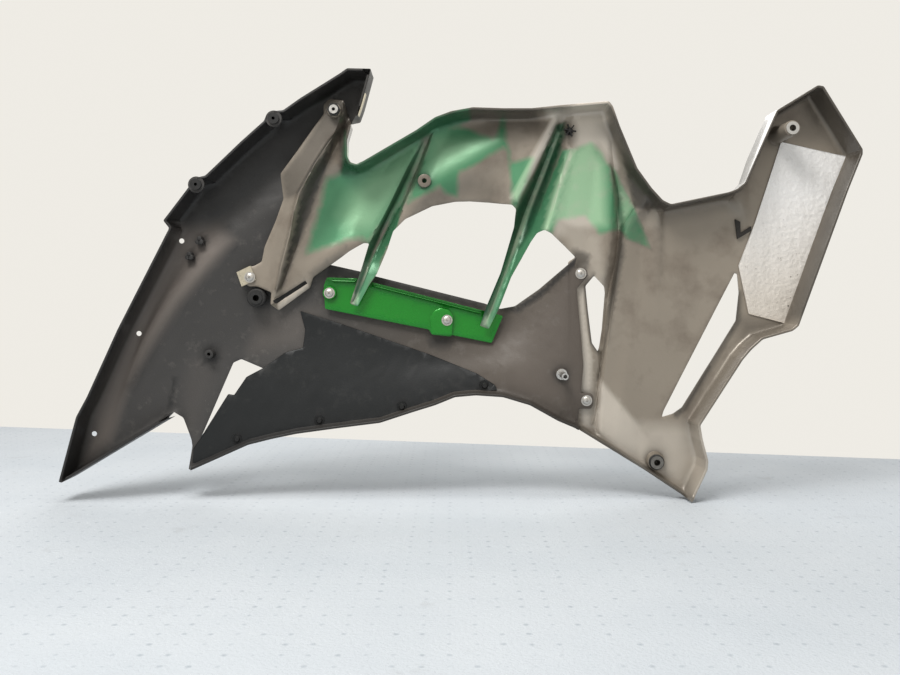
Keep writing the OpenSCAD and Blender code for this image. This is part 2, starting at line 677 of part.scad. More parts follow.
module top_nut() {
    color([0.12, 0.12, 0.12])
        seated(top_point, top_seat - top_nut_h)
            difference() {
                cylinder(h = top_nut_h, r = top_nut_r, $fn = 6);
                translate([0, 0, -1])
                    cylinder(h = top_nut_h + 2, r = top_bore_r + collar_wall);
            }
}

module top_collar() {
    color("silver")
        collar(top_point, top_seat - top_nut_h, top_bore_r, top_nut_h + collar_flange_t,
            top_bore_r + 2 * collar_wall);
}

// A rubber ring with a waist
module front_grommet() {
    inner = bore_r + collar_wall;
    color([0.1, 0.1, 0.1])
        seated(front_point, front_seat)
            rotate_extrude()
                polygon([[inner, 0], [grommet_r - 1, 0], [grommet_r, 1],
                    [grommet_r, grommet_h / 3], [grommet_r - waist, grommet_h / 2],
                    [grommet_r, grommet_h * 2 / 3], [grommet_r, grommet_h],
                    [inner, grommet_h]]);
}

module front_collar() {
    color("silver")
        collar(front_point, front_seat, bore_r, grommet_h);
}

module rear_upper_collar() {
    color("silver")
        collar(rear_upper, rear_upper.z, bore_r);
}

// A headed rubber sleeve pressed into the rear lower post
module rear_lower_grommet() {
    inner = bore_r + collar_wall;
    color([0.1, 0.1, 0.1])
        seated(rear_lower, rear_seat)
            rotate_extrude()
                polygon([[inner, -rear_head_h], [rear_head_r - 1, -rear_head_h],
                    [rear_head_r, 1 - rear_head_h], [rear_head_r, 0],
                    [rear_sleeve_r, 0], [rear_sleeve_r, collar_l / 2],
                    [inner, collar_l / 2]]);
}

module rear_lower_collar() {
    color("silver")
        collar(rear_lower, rear_seat - rear_head_h, bore_r,
            rear_head_h + collar_l / 2, rear_head_r - 1.2);
}

// A hollow stud on a round foot, with a groove below its tip
module locating_stud() {
    foot_h = 2;
    color("silver")
        seated(stud_at, stud_seat() - stud_l)
            difference() {
                union() {
                    cylinder(h = stud_l + wall, r = stud_r);
                    translate([0, 0, stud_l - foot_h])
                        cylinder(h = foot_h, r = post_r - 0.4);
                }
                translate([0, 0, -1])
                    cylinder(h = stud_l - foot_h, r = stud_r - collar_wall);
                translate([0, 0, stud_l / 5])
                    difference() {
                        cylinder(h = 2, r = stud_r + 1);
                        translate([0, 0, -1])
                            cylinder(h = 4, r = stud_r - 0.6);
                    }
            }
}

// A push-in clip: a stem and a head of crossed blades
module star_clip() {
    seat = nearest(upper_grid, star_at, star_post_r) - star_post_h;
    color([0.08, 0.08, 0.08])
        seated(star_at, seat - star_h) {
            cylinder(h = star_h + wall + star_post_h, r = star_stem_r);
            for (a = [10:60:130])
                rotate(a)
                    translate([-star_r, -0.6, 0])
                        cube([2 * star_r, 1.2, star_h / 2]);
            translate([0, 0, star_h - 1.6])
                cylinder(h = 1.6, r = star_r * 0.6);
        }
}

module edge_pad() {
    color([0.14, 0.13, 0.12])
        intersection() {
            slab(upper_grid, -film_gap - pad_thick, -film_gap);
            prism(set_out(pad_outline, rim_depth));
        }
}

module edge_clip(p) {
    color([0.1, 0.1, 0.1])
        seated(p, -edge_clip_h)
            difference() {
                union() {
                    cylinder(h = edge_clip_h, r = edge_clip_r);
                    cylinder(h = edge_clip_h + 2 * wall, r = edge_stem_r);
                }
                translate([0, 0, -1])
                    cylinder(h = edge_clip_h + 1, r = edge_stem_r - 0.6);
            }
}

module edge_clip_upper() {
    edge_clip(edge_clip_at[0]);
}

module edge_clip_lower() {
    edge_clip(edge_clip_at[1]);
}

// A thin steel strip along the outside of the front peak's rear rim
module edge_staple() {
    color("silver")
        prism(strip(set_out(staple_path, 0), -film_gap - clip_t, -film_gap), 0, staple_h);
}

module sheet_rivet(p) {
    color([0.1, 0.1, 0.11])
        seated(p, rivet_seat(p)) {
            translate([0, 0, -rivet_h])
                cylinder(h = rivet_h, r1 = rivet_r * 0.7, r2 = rivet_r);
            cylinder(h = rivet_stem_l, r = rivet_stem_r);
        }
}

module sheet_rivet_1() {
    sheet_rivet(rivet_at[0]);
}

module sheet_rivet_2() {
    sheet_rivet(rivet_at[1]);
}

module sheet_rivet_3() {
    sheet_rivet(rivet_at[2]);
}

module sheet_rivet_4() {
    sheet_rivet(rivet_at[3]);
}

upper_cowl();
lower_cowl();
cover_sheet();
foil_shield();
colour_plate();
plate_screw_front();
plate_screw_rear();
strap_screw_upper();
strap_screw_lower();
clip_nut();
clip_screw();
top_nut();
top_collar();
front_grommet();
front_collar();
rear_upper_collar();
rear_lower_grommet();
rear_lower_collar();
locating_stud();
star_clip();
edge_pad();
edge_clip_upper();
edge_clip_lower();
edge_staple();
sheet_rivet_1();
sheet_rivet_2();
sheet_rivet_3();
sheet_rivet_4();
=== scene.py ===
"""The side cover's looks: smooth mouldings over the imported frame, paint, foil, rubber and steel."""
import bpy
import math
import numpy as np
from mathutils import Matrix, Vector
from mathutils.bvhtree import BVHTree
from mathutils.geometry import delaunay_2d_cdt


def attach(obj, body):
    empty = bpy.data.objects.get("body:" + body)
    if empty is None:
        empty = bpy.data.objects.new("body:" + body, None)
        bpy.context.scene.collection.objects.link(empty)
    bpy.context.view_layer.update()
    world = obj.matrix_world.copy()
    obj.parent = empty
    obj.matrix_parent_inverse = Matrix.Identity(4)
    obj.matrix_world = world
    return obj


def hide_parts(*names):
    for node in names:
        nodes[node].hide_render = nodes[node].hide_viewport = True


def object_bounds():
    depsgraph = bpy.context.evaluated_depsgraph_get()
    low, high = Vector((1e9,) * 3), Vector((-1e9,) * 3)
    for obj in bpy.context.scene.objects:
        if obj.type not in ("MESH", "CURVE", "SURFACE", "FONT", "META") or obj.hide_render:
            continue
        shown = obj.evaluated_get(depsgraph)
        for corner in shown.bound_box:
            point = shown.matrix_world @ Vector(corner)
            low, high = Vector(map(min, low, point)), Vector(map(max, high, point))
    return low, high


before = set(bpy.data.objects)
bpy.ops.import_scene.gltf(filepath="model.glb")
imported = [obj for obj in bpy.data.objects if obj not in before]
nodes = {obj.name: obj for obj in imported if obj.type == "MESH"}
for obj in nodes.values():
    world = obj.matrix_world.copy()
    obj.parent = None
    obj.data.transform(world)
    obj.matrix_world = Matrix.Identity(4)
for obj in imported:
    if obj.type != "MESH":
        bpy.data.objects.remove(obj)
cad_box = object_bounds()

# The drawing's sizes, in millimetres, as the part's source has them. The eye is [right, down] in
# the picture, and its distance is from the plane of the rims' tops, where depth is 0
PICTURE = (900, 675)
EYE = (450.0, 299.0)
EYE_DISTANCE = 900.0
RIM_DEPTH = 30.0
WALL = 2.6
LAYER_GAP = 1.4
RIM_WALL = 2.4
POST_OUT = 12.0
MOUTH = 13.2
LOWER_DEPTH = RIM_DEPTH + WALL + LAYER_GAP
BELLY_RIM = RIM_DEPTH - 20
TOE_RIM = RIM_DEPTH - 14
LEG_DEPTH = RIM_DEPTH - 6
DEEPEST = max(p.y for p in cad_box) * 1000 - MOUTH - 0.1

# A rim in section, by the distance from its edge: its rounded top, then the fillet at its foot
RIM_TOP = (0.5, 1.9)
RIM_ROUND = 0.45
RIM_FOOT = (3.4, 4.6, 6.6)
FOOT_RISE = (3.2, 1.1, 0)
EDGE_FROM_RIM = 7.0
LINE_FROM_RIM = 7.2
OUTER_ROUND = 1.8
OUTER_SHARE = 0.8
SMOOTH_BELOW = 38

# The shade at the foot of a rim and of a boss: how dark it is, and how far it reaches
RIM_SHADE = (0.85, 5.0)
BOSS_SHADE = (0.9, 3.5)

# The frame's origin is on the axis of the rear upper post, at its mouth
ORIGIN = (792.5, 128.0)
K0 = 1 - POST_OUT / EYE_DISTANCE
OX = (ORIGIN[0] - EYE[0]) * K0
OZ = -(ORIGIN[1] - EYE[1]) * K0


def at(p, depth):
    """The place, in millimetres in the frame, of a point of the drawing at this depth."""
    k = 1 + depth / EYE_DISTANCE
    return ((p[0] - EYE[0]) * k - OX, depth + MOUTH, -(p[1] - EYE[1]) * k - OZ)


def drawn(v, depth):
    """The drawing's points for places in the plan at these depths: the reverse of at."""
    k = 1 + depth / EYE_DISTANCE
    return np.stack([(v[:, 0] + OX) / k + EYE[0], EYE[1] - (v[:, 1] + OZ) / k], axis=1)


def plan(path, depth):
    """A path of the drawing as places [x, z]."""
    return [(q[0], q[2]) for q in (at(p, depth) for p in path)]


# The outlines and surface lines of the part's source, as [right, down] and [right, down, relief].
# The upper lines slope up to the top rims here, as the real walls do, and less so to the toe
UPPER_TOP = [[351, 126], [347, 140], [347, 156], [350, 162], [356, 164], [363, 161], [380, 151],
    [416, 130], [435, 117], [451, 111], [473, 107], [503, 108], [532, 108], [560, 105], [609, 101],
    [613, 106], [620, 126], [637.5, 168], [652, 188], [663, 200], [671, 204], [729, 192], [737, 189],
    [745, 182.5], [777, 110], [818, 85]]
UPPER_REAR = [[818, 85], [824, 86], [863, 149], [863, 154], [848.6, 190], [799, 326], [793, 331],
    [763, 339.5], [751.5, 350], [743, 360], [700.5, 425.7], [703, 440], [708.6, 461.4], [707.7, 470.4],
    [695, 497], [692.5, 502.5]]
UPPER_TOE = [[692.5, 502.5], [648, 473], [584.5, 434]]
UPPER_LOW = [[574, 426], [573, 417], [575, 388], [577, 365], [575, 334], [570, 288], [568, 262],
    [575.5, 257], [564.6, 246], [551, 233.4], [544, 230], [537.4, 232.8], [531, 242], [511.3, 277],
    [499, 308], [488.4, 329], [479.5, 325.5], [486.8, 305], [500.6, 272.6], [514.4, 226.6], [516, 209],
    [512, 205], [490.7, 202.3], [470, 201], [455, 201.4], [432, 206], [405, 219], [393, 231], [387, 250],
    [377, 274], [369.5, 285], [358, 306.5], [350.5, 303.5], [362, 268], [369, 243.4], [363.7, 243],
    [349.6, 251.2], [313, 277], [309.5, 287.5], [278.8, 310.5], [272, 304], [273, 292.5], [258.4, 286.5],
    [251, 286.5], [245, 283.5], [242, 276], [246, 269], [256, 266], [263, 262], [266, 247], [277, 222],
    [285, 199.7], [282, 175], [299, 152], [316, 128], [325, 116], [325, 106], [331, 101], [345, 103],
    [349, 117]]
STRAP_SLOT = [[594.2, 275.7], [585.5, 286], [588, 311], [592, 343], [598, 351.6], [599.6, 347],
    [602.5, 329], [605.5, 293], [604.5, 286.5]]
BAR_SLOT = [[274.5, 300.5], [305, 280.5], [307, 283.5], [276.5, 304]]
REAR_SLOT = [[737.6, 274], [739.2, 292.5], [736, 320.7], [682.3, 407.4], [673, 414], [662.2, 417.2],
    [664, 411], [735, 273]]
BELLY_REAR = [[579, 430.6], [575, 428.2], [558, 421], [530, 405.4], [503, 397.3]]
BELLY_FRONT = [[476, 395.5], [455, 397.3], [435, 405.4], [412, 412.5], [380, 423], [340, 428], [296, 434],
    [272, 439], [248, 445], [192, 470]]
LOWER_LEG = [[187.4, 470.6], [190.7, 447], [189.6, 440.7], [181, 419], [172.3, 412.5], [165.8, 419]]
LOWER_TIP = [[165.8, 420], [62, 482.5]]
LOWER_FRONT = [[58.4, 482], [75.8, 417], [86.6, 397], [117, 330], [169, 228], [163, 220.5], [188.5, 187],
    [190, 181], [196, 177.5], [205, 175.5], [215, 166], [240, 142], [264, 120.5], [266, 115], [273, 111],
    [283, 110], [300, 98], [340, 73], [347, 68]]
LOWER_PEAK = [[347, 68], [371, 68.5], [366, 87], [361, 105], [357, 116]]
LOWER_HIDDEN = [[349, 124], [329, 152], [299, 205], [284, 256], [300, 262]]
LOWER_SEAM = [[330, 264.6], [358.6, 271], [374.6, 276], [485.4, 303.6], [500.5, 309], [515.7, 306.3],
    [540, 289], [576, 257], [574, 269.5], [580, 266.8], [586, 270], [587, 275.7], [575.7, 289.4],
    [580, 334.6], [582.7, 365], [580, 392.7], [590, 392.7], [592, 395], [592, 405], [590, 408],
    [578, 408], [577.5, 417]]
LOWER_WINDOW = [[232, 363], [240, 359.5], [264, 369.5], [244, 398], [204, 440], [200.5, 438.5]]
SHEET_TOP = [[193.5, 465], [194, 448], [200.5, 438.5], [228, 394], [234, 395], [246, 377], [262, 368.5],
    [285, 352.5], [302, 348], [304, 330], [299, 311], [340, 324], [380, 337.7], [426.4, 353.6],
    [476.4, 373], [494.3, 384], [497, 389]]
FOIL_OUTLINE = [[780.6, 142.3], [855, 158.5], [795, 326], [748.3, 313.7], [738.4, 265.5], [754.8, 222.6]]
UPPER_LINES = [
    [[312, 90, -8], [290, 130, -8], [268, 170, -8], [268, 205, -8], [250, 250, -7], [240, 275, -7],
        [228, 310, -7]],
    [[334, 92, -10], [312, 135, -10], [290, 170, -10], [288, 205, -9], [272, 246, -7], [262, 278, -7],
        [256, 325, -7]],
    [[347, 96, -13], [331, 141, -13], [312, 170, -13], [297, 202, -13], [288, 244, -12], [277, 290, -10],
        [266, 330, -8]],
    [[356, 98, -3], [339, 141, -1], [321, 176, 0], [307, 210, 0], [297, 246, 0], [283, 285, -2],
        [268, 334, -2]],
    [[366, 110, -20], [348, 158, -18], [339, 176, 3], [322, 212, 3], [312, 246, 2], [303, 275, 1],
        [285, 330, 3]],
    [[386, 146, -22], [380, 156, 3], [357, 194, 6], [344, 218, 6], [336, 238, 3], [327, 260, 1],
        [310, 302, 13]],
    [[411, 131, -22], [404, 143, 3], [376, 184, 6], [363, 208, 5], [355, 227, 2], [346, 247, 0],
        [326, 292, 12]],
    [[433, 116, -22], [427, 129, 1], [405, 172, 3], [389, 205, 3], [371, 240, 1], [361, 268, -4],
        [344, 318, -8]],
    [[435, 115, -21], [429, 130, 2], [408, 175, 10], [391, 210, 14], [374.5, 245, 13], [364.5, 270, -1],
        [347.5, 319, -5]],
    [[438, 114, -21], [432.5, 129, 2], [414, 176, 12], [398, 212, 15], [379.5, 247, 14], [368.5, 272, -1],
        [353, 321, -5]],
    [[441, 113, -22], [436, 127, 0], [417.5, 175, 3], [404, 205, 3], [389, 243, 1], [377, 276, -4],
        [357, 323, -8]],
    [[456, 108, -22], [453, 122, 4], [440, 157, 1], [424, 192, -3], [412, 222, 4], [402, 262, 6],
        [392, 330, 6]],
    [[472, 106, -22], [469, 120.5, 4], [462, 146, 1], [459, 171, -3], [457, 203, 4], [452, 250, 8],
        [444, 330, 8]],
    [[502, 106.5, -20], [501, 117, 4], [501, 132, 0], [501, 147, -3], [496, 182, 2], [486, 240, 8],
        [466, 330, 8]],
    [[529, 106.5, -12], [527, 113, 3], [520, 134, 0], [515, 152, -1], [505, 184, 1], [495, 235, 2],
        [470, 332, 0]],
    [[563, 94, -1], [553, 118, -3], [543, 139, -4], [531, 163, -4], [513, 200, -3], [499, 262, -4],
        [474, 336, -8]],
    [[567, 95, 0], [557, 121, -1], [547, 144, -1], [536, 168, -1], [516, 209, -1], [501.5, 264, -4],
        [476, 337, -8]],
    [[570, 96, 1], [559, 125, 3], [550, 148, 9], [540, 174, 15], [523, 217, 18], [507, 266, 6],
        [480, 338, -5]],
    [[572, 97, 1], [562, 127, 4], [554, 150, 10], [545, 176, 16], [529, 218, 18], [512, 268, 6],
        [484, 339, -5]],
    [[577, 97, -1], [568, 130, -2], [566, 152, -3], [561, 176, -4], [547, 228, -4], [515, 276, -4],
        [488, 340, -8]],
    [[590, 96, 0], [582, 128, -1], [577, 152, -1], [571, 182, -1], [560, 242, 0], [566, 290, 0],
        [568, 448, 0]],
    [[603, 96, 0], [600, 130, 0], [597, 156, 1], [593, 188, 2], [586, 250, 2], [583, 300, 0],
        [585, 452, 0]],
    [[610, 96, 0], [609, 136, 0], [611, 165, 0], [612.5, 196, 0], [608, 256, 0], [600, 305, 1],
        [591, 454, 0]],
    [[612.5, 97, 1], [611.5, 138, 1], [614, 168, 4], [619, 198, 7], [616, 255, 7], [606, 310, 6],
        [593, 455, 2]],
    [[617, 98, 0], [613.5, 140, 0], [623.5, 178, -1], [632, 209, -2], [620, 255, -2], [603, 384, -1],
        [597, 457, -5]],
    [[618, 104, -20], [630, 143, -22], [648, 182, -20], [655, 197, -20], [647, 216, 0], [630, 340, 1],
        [612, 468, -6]],
    [[664, 170, -20], [664, 186, -20], [664, 199, -18], [664, 210, 0], [661, 300, 2], [641, 428, 1],
        [634, 488, -5]],
    [[700, 170, -20], [700, 184, -20], [700, 196, -18], [700, 207, 0], [695, 300, 3], [668, 440, 1],
        [660, 502, -3]],
    [[728, 165, -20], [728, 180, -20], [728, 191, -18], [728, 202, 0], [722, 290, 2], [706, 370, 1],
        [690, 520, -1]],
    [[745, 140, 0], [748, 172, 0], [750, 205, 0], [748, 240, 1], [740, 300, 1], [722, 378, -2],
        [709, 520, -20]],
    [[768, 86, 0], [773, 130, 0], [778, 165, 0], [776, 215, 2], [766, 290, 2], [744, 372, -5],
        [722, 520, -30]],
    [[815, 66, 0], [818, 105, 0], [818, 145, 1], [812, 205, 2], [796, 275, 1], [774, 350, -3],
        [734, 520, -34]],
    [[882, 62, 0], [884, 110, 0], [880, 155, 0], [864, 215, 0], [842, 285, 0], [818, 360, 0],
        [770, 520, 0]],
]
LOWER_LINES = [
    [[335, 45, -4], [284, 86, -4], [236, 126, -4], [188, 164, -4], [146, 220, -4], [102, 325, -4],
        [34, 502, -4]],
    [[346, 54, -1], [316, 118, -1], [264, 158, -3], [216, 200, -3], [170, 246, -3], [127, 336, -4],
        [56, 508, -6]],
    [[358, 52, -1], [330, 134, 0], [278, 178, 0], [234, 212, 0], [184, 260, 0], [138, 342, -2],
        [74, 509, -5]],
    [[370, 52, -1], [343, 152, 0], [290, 196, -5], [240, 235, -5], [193, 276, -5], [144, 350, -5],
        [92, 510, -5]],
    [[381, 54, -1], [355, 170, 0], [314, 216, 0], [268, 258, 0], [222, 306, 0], [176, 376, -2],
        [120, 512, -5]],
    [[392, 70, -4], [366, 186, 2], [330, 238, 4], [296, 288, 4], [256, 334, 3], [212, 388, 0],
        [160, 514, -8]],
    [[404, 110, 0], [378, 216, 8], [352, 268, 9], [330, 305, 7], [300, 346, 4], [262, 398, -4],
        [204, 514, -14]],
    [[420, 190, 8], [398, 254, 11], [385, 284, 9], [374, 316, 7], [352, 352, 3], [322, 402, -6],
        [280, 490, -17]],
    [[442, 246, 12], [438, 274, 12], [434, 297, 9], [428, 326, 7], [415, 358, 3], [398, 396, -7],
        [370, 470, -19]],
    [[494, 268, 12], [490, 288, 12], [487, 308, 9], [484, 334, 6], [479, 356, 1], [476, 376, -6],
        [466, 445, -19]],
    [[523, 264, 9], [520, 288, 9], [518, 308, 7], [515, 332, 5], [510, 354, -2], [505, 374, -9],
        [492, 440, -19]],
    [[551, 244, 0], [549, 272, 0], [547, 294, -1], [543, 324, -3], [539, 354, -6], [535, 383, -11],
        [526, 446, -18]],
    [[566, 236, -10], [566, 258, -10], [565, 282, -10], [564, 322, -10], [561, 362, -10], [558, 402, -12],
        [554, 460, -16]],
    [[570, 234, -10], [570, 256, -10], [570, 280, -10], [571, 320, -10], [571, 360, -10], [571, 400, -10],
        [571, 462, -10]],
    [[578, 234, -10], [578, 256, -10], [578, 280, -10], [578, 320, -10], [578, 360, -10], [578, 400, -10],
        [578, 462, -10]],
    [[610, 230, -10], [610, 255, -10], [610, 285, -10], [610, 325, -10], [610, 365, -10], [610, 410, -10],
        [606, 466, -10]],
]


def catmull(a, b, c, d, t):
    return (2 * b + (c - a) * t + (2 * a - 5 * b + 4 * c - d) * t * t
            + (3 * b - a - 3 * c + d) * t * t * t) / 2


def smooth(line, n):
    last = len(line) - 1
    out = [catmull(line[max(i - 1, 0)], line[i], line[i + 1], line[min(i + 2, last)], j / n)
           for i in range(last) for j in range(n)]
    return out + [line[last]]


def surface(lines, depth, across):
    """The moulded face as a fine grid of points, with the lines that it was drawn by."""
    lines = [np.array(l, float) for l in lines]
    if across > 1:
        lines = smooth(lines, across)
    rows = [smooth([np.array(at(p, depth + p[2])) for p in l], 8) for l in lines]
    grid = np.array(rows)
    n, m = grid.shape[:2]
    quads = [(i * m + j, (i + 1) * m + j, (i + 1) * m + j + 1, i * m + j + 1)
             for i in range(n - 1) for j in range(m - 1)]
    tree = BVHTree.FromPolygons([Vector(p) for p in grid.reshape(-1, 3)],
                                [t for a, b, c, d in quads for t in ((a, b, c), (a, c, d))])
    return {"tree": tree, "lines": [[(p[0], p[2]) for p in r] for r in rows]}


def depth_at(face, x, z):
    hit = face["tree"].ray_cast(Vector((x, -500, z)), Vector((0, 1, 0)))[0]
    return hit.y - MOUTH if hit else None


def segment_distance(pts, path, closed=False):
    """Each point's distance to a path, in the plan."""
    best = np.full(len(pts), 1e9)
    path = np.array(path, float)
    ends = list(zip(path[:-1], path[1:])) + ([(path[-1], path[0])] if closed else [])
    for a, b in ends:
        ab = b - a
        t = np.clip(((pts - a) @ ab) / max(ab @ ab, 1e-9), 0, 1)
        best = np.minimum(best, np.linalg.norm(pts - (a + t[:, None] * ab), axis=1))
    return best


def inside(pts, poly):
    poly = np.array(poly, float)
    c = np.zeros(len(pts), bool)
    for a, b in zip(poly, np.roll(poly, -1, axis=0)):
        cross = (a[1] > pts[:, 1]) != (b[1] > pts[:, 1])
        with np.errstate(divide="ignore", invalid="ignore"):
            x = (b[0] - a[0]) * (pts[:, 1] - a[1]) / (b[1] - a[1]) + a[0]
        c ^= cross & (pts[:, 0] < x)
    return c


def offset(path, d, closed):
    """The path moved sideways to its right by d, mitred and capped at tight corners."""
    p = np.array(path, float)
    n = len(p)
    out = []
    for i in range(n):
        before = p[i] - p[i - 1] if (closed or i > 0) else p[1] - p[0]
        after = p[(i + 1) % n] - p[i] if (closed or i < n - 1) else p[-1] - p[-2]
        before, after = (v / max(np.linalg.norm(v), 1e-6) for v in (before, after))
        m = np.array([before[1] + after[1], -before[0] - after[0]])
        out.append(p[i] + m / max(1 + before @ after, 0.5) * d)
    return out


def circle(c, r, n=28):
    return [(c[0] + r * math.cos(2 * math.pi * i / n), c[1] + r * math.sin(2 * math.pi * i / n))
            for i in range(n)]


def rounded(path, r, closed=True):
    """The path with each corner cut by a small arc, so that moulded edges don't meet in points."""
    p = [np.array(q, float) for q in path]
    out = []
    for i, q in enumerate(p):
        if not closed and i in (0, len(p) - 1):
            out.append(tuple(q))
            continue
        a, b = p[i - 1] - q, p[(i + 1) % len(p)] - q
        la, lb = np.linalg.norm(a), np.linalg.norm(b)
        cut = min(r, la * 0.3, lb * 0.3)
        for t in (0, 0.33, 0.67, 1):
            u, v = q + a / la * cut, q + b / lb * cut
            out.append(tuple((1 - t) ** 2 * u + 2 * t * (1 - t) * q + t * t * v))
    return out


def cdt(chains, spacing, outline, holes):
    """Triangulates the inside of outline, through the given chains, with an even fill of points."""
    lo, hi = np.array(outline).min(0), np.array(outline).max(0)
    xs = np.arange(lo[0], hi[0], spacing)
    zs = np.arange(lo[1], hi[1], spacing * 0.866)
    fill = np.array([(x + (0.5 * spacing if k % 2 else 0), z) for k, z in enumerate(zs) for x in xs])
    fill = fill[inside(fill, outline)]
    for h in holes:
        fill = fill[~inside(fill, h)]
    for chain, closed in chains:
        fill = fill[segment_distance(fill, chain, closed) >= spacing * 0.45]
    verts, edges = [tuple(p) for p in fill], []
    for chain, closed in chains:
        k = len(verts)
        verts += [tuple(p) for p in chain]
        edges += [(k + i, k + i + 1) for i in range(len(chain) - 1)]
        if closed:
            edges.append((k + len(chain) - 1, k))
    v, _, f, _, _, _ = delaunay_2d_cdt([Vector(p) for p in verts], edges, [], 0, 0.02, False)
    v = np.array([(p.x, p.y) for p in v])
    f = np.array([t for t in f if len(t) == 3])
    mid = v[f].mean(1)
    keep = inside(mid, outline)
    for h in holes:
        keep &= ~inside(mid, h)
    f = f[keep]
    used, index = np.unique(f, return_inverse=True)
    return v[used], index.reshape(-1, 3)


def subdivided(chain, step, closed):
    out = []
    n = len(chain)
    for i in range(n if closed else n - 1):
        a, b = np.array(chain[i], float), np.array(chain[(i + 1) % n], float)
        k = max(1, int(np.linalg.norm(b - a) / step))
        out += [tuple(a + (b - a) * j / k) for j in range(k)]
    return out if closed else out + [tuple(chain[-1])]


def relaxed(values, faces, free, times):
    """Evens out values over the mesh, at the vertices that are free."""
    pairs = np.concatenate([faces[:, [0, 1]], faces[:, [1, 2]], faces[:, [2, 0]]])
    pairs = np.concatenate([pairs, pairs[:, ::-1]])
    count = np.maximum(np.bincount(pairs[:, 0], minlength=len(values)), 1)
    for _ in range(times):
        total = np.bincount(pairs[:, 0], weights=values[pairs[:, 1]], minlength=len(values))
        values = np.where(free, values + 0.5 * (total / count - values), values)
    return values


def runs(points, good):
    """The unbroken stretches of points that are good."""
    out, run = [], []
    for p, ok in zip(list(points) + [None], list(good) + [False]):
        if ok:
            run.append(p)
            continue
        if len(run) > 1:
            out.append((run, False))
        run = []
    return out


def soft_inside(v, poly, soft):
    """1 inside the polygon and 0 outside it, with a soft border."""
    d = segment_distance(v, poly, True)
    return np.clip(0.5 + np.where(inside(v, poly), d, -d) / soft, 0, 1)


def fading(distance, shade):
    """A shade that is darkest where the distance is 0, and fades away from there."""
    return shade[0] * np.exp(-np.maximum(distance, 0) / shade[1])


